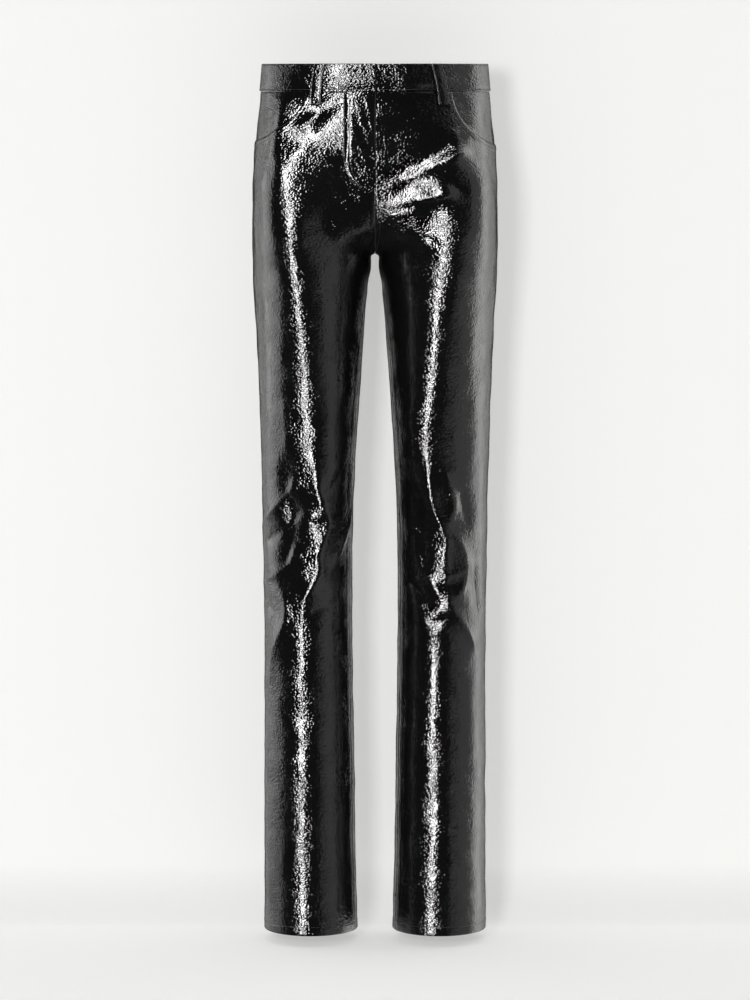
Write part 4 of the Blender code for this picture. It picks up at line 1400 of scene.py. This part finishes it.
# %% Stage
def stage_finish(name, clear_behind=False):
    """Pale paper with a painted glow that stands in for fill light, on request clear when seen from
    behind.
    """
    material, tree, sockets = new_finish(name)
    sockets["Base Color"].default_value = (0.60, 0.60, 0.59, 1.0)
    sockets["Roughness"].default_value = 0.9
    sockets["Specular IOR Level"].default_value = 0.0
    facing = add_node(tree, "ShaderNodeNewGeometry", output="Normal")
    rise = facing.node("ShaderNodeSeparateXYZ", None, {0: facing}, 2)
    # Painted light: the paper's emission stands in for fill light from all round, which no shadow
    # cuts, so the cast shadow stays pale. It is a little weaker on the cove than on the wall and
    # the floor.
    painted_fill_light = 0.56 - 0.11 * (1.0 - rise * rise) ** 0.5 - 0.10 * abs(rise)
    lit = painted_fill_light.node("ShaderNodeCombineColor", None, {0: painted_fill_light, 1: painted_fill_light, 2: painted_fill_light * 0.985})
    lit.into(sockets["Emission Color"])
    sockets["Emission Strength"].default_value = 1.0
    if clear_behind:
        behind = add_node(tree, "ShaderNodeNewGeometry", output="Backfacing")
        paper = Wire(tree.nodes["Principled BSDF"].outputs[0])
        clear = add_node(tree, "ShaderNodeBsdfTransparent")
        mixed = add_node(tree, "ShaderNodeMixShader", None, {0: behind, 1: paper, 2: clear})
        mixed.into(tree.nodes["Material Output"].inputs["Surface"])
    return material


def stage_sheet(name, profile, finish, width=9.0):
    """A wide sheet along X over a profile of (y, z) places."""
    points = [(side * width / 2, y, z) for y, z in profile for side in (-1.0, 1.0)]
    faces = [(2 * i, 2 * i + 1, 2 * i + 3, 2 * i + 2) for i in range(len(profile) - 1)]
    piece = new_piece(name, points, faces, [finish])
    piece.visible_glossy = False


FLOOR = -1.094
WALL_Y = 0.155
COVE = 0.07
cove = [
    (WALL_Y - COVE + COVE * math.sin(turn), FLOOR + COVE - COVE * math.cos(turn))
    for turn in np.linspace(0.0, math.pi / 2, 17)
]
floor = [(-9.0, FLOOR), (WALL_Y - COVE, FLOOR)]
stage_sheet("stage_floor", floor, stage_finish("stage_floor"))
stage_sheet("stage_wall", cove + [(WALL_Y, 3.5)], stage_finish("stage_wall", True))
print("floor at", FLOOR, "wall at", WALL_Y)

# %% [markdown]
# ## Light
# The picture shows how the studio was set up, because the film mirrors it. A tall, narrow soft
# box stands in front and a little to the left: it draws the bright stripe down each leg. White
# walls at both sides give the grey bands near the outlines. In front, round the camera, it is
# dark, so the middle of each leg is black. Those walls are painted in the world, by the
# direction that a mirror ray takes, because they are large and even. The soft boxes are area
# lamps: the tall one, a wide dim one at the left, and a small one low on the right. A key lamp
# throws the soft shadow behind the legs. The film doesn't mirror it, and the other lamps light
# nothing but the film, so shadow and reflections can be set apart.


# %% Soft boxes
def soft_box(name, azimuth_deg, distance, low_z, high_z, width, radiance):
    """A tall area lamp that faces the trousers. Azimuth 0 is the camera's side, + is right."""
    data = bpy.data.lights.new(name, "AREA")
    data.shape = "RECTANGLE"
    data.size = width
    data.size_y = high_z - low_z
    data.energy = radiance * math.pi * width * (high_z - low_z)
    lamp = bpy.data.objects.new(name, data)
    turn = math.radians(azimuth_deg)
    place = Vector((distance * math.sin(turn), -distance * math.cos(turn), (low_z + high_z) / 2))
    lamp.location = place
    lamp.rotation_euler = (math.pi / 2, 0.0, turn)
    lamp.visible_camera = False
    bpy.context.scene.collection.objects.link(lamp)
    return lamp


LAMPS = (
    # name, azimuth, distance, bottom, top, width, radiance, mirrored
    ("soft_box_front", -24.0, 4.0, -2.15, 8.0, 0.80, 34.0, True),
    ("soft_box_side", -109.0, 3.0, -1.20, 1.0, 2.30, 1.9, True),
    ("soft_box_low", 40.5, 3.0, -2.60, -1.05, 1.05, 0.66, True),
    ("key", -9.5, 4.0, -0.10, 0.5, 0.50, 64.0, False),
)
for name, azimuth_deg, distance, low, high, width, radiance, mirrored in LAMPS:
    lamp = soft_box(name, azimuth_deg, distance, low, high, width, radiance)
    lamp.visible_diffuse = not mirrored
    lamp.visible_glossy = mirrored
print("lamps:", len(LAMPS))

# %% World
DARK = 0.022                 # what the film mirrors where nothing stands
world = bpy.data.worlds.new("studio")
world.use_nodes = True
world.cycles.sampling_method = "NONE"
tree = world.node_tree
tree.nodes.clear()
direction = add_node(tree, "ShaderNodeTexCoord", output="Generated")
x_part = direction.node("ShaderNodeSeparateXYZ", None, {0: direction})
y_part, up = (Wire(x_part.socket.node.outputs[axis]) for axis in (1, 2))
azimuth = x_part.math("ARCTAN2", x_part, 0.0 - y_part) * (180.0 / math.pi)
left_wall = azimuth.ramp(-84.0, -92.0) * azimuth.ramp(-165.0, -158.0) * up.ramp(0.42, 0.06)
right_wall = azimuth.ramp(50.0, 53.5) * azimuth.ramp(165.0, 158.0)
right_far = azimuth.ramp(98.0, 108.0) * azimuth.ramp(145.0, 120.0)
glossy = DARK + left_wall * 0.66 + right_wall * 0.64 + right_far * 2.4
glossy_ray = add_node(tree, "ShaderNodeLightPath", output="Is Glossy Ray")
plain_light = 0.10 + 0.35 * up.ramp(0.0, 1.0)
strength = glossy_ray * glossy + (1.0 - glossy_ray) * plain_light
background = strength.node(
    "ShaderNodeBackground", None, {"Color": (1.0, 1.0, 0.985, 1.0), "Strength": strength}
)
background.into(tree.nodes.new("ShaderNodeOutputWorld").inputs["Surface"])
bpy.context.scene.world = world
bpy.context.scene.view_settings.view_transform = "Standard"
bpy.context.scene.view_settings.look = "None"
print("world nodes:", len(tree.nodes))
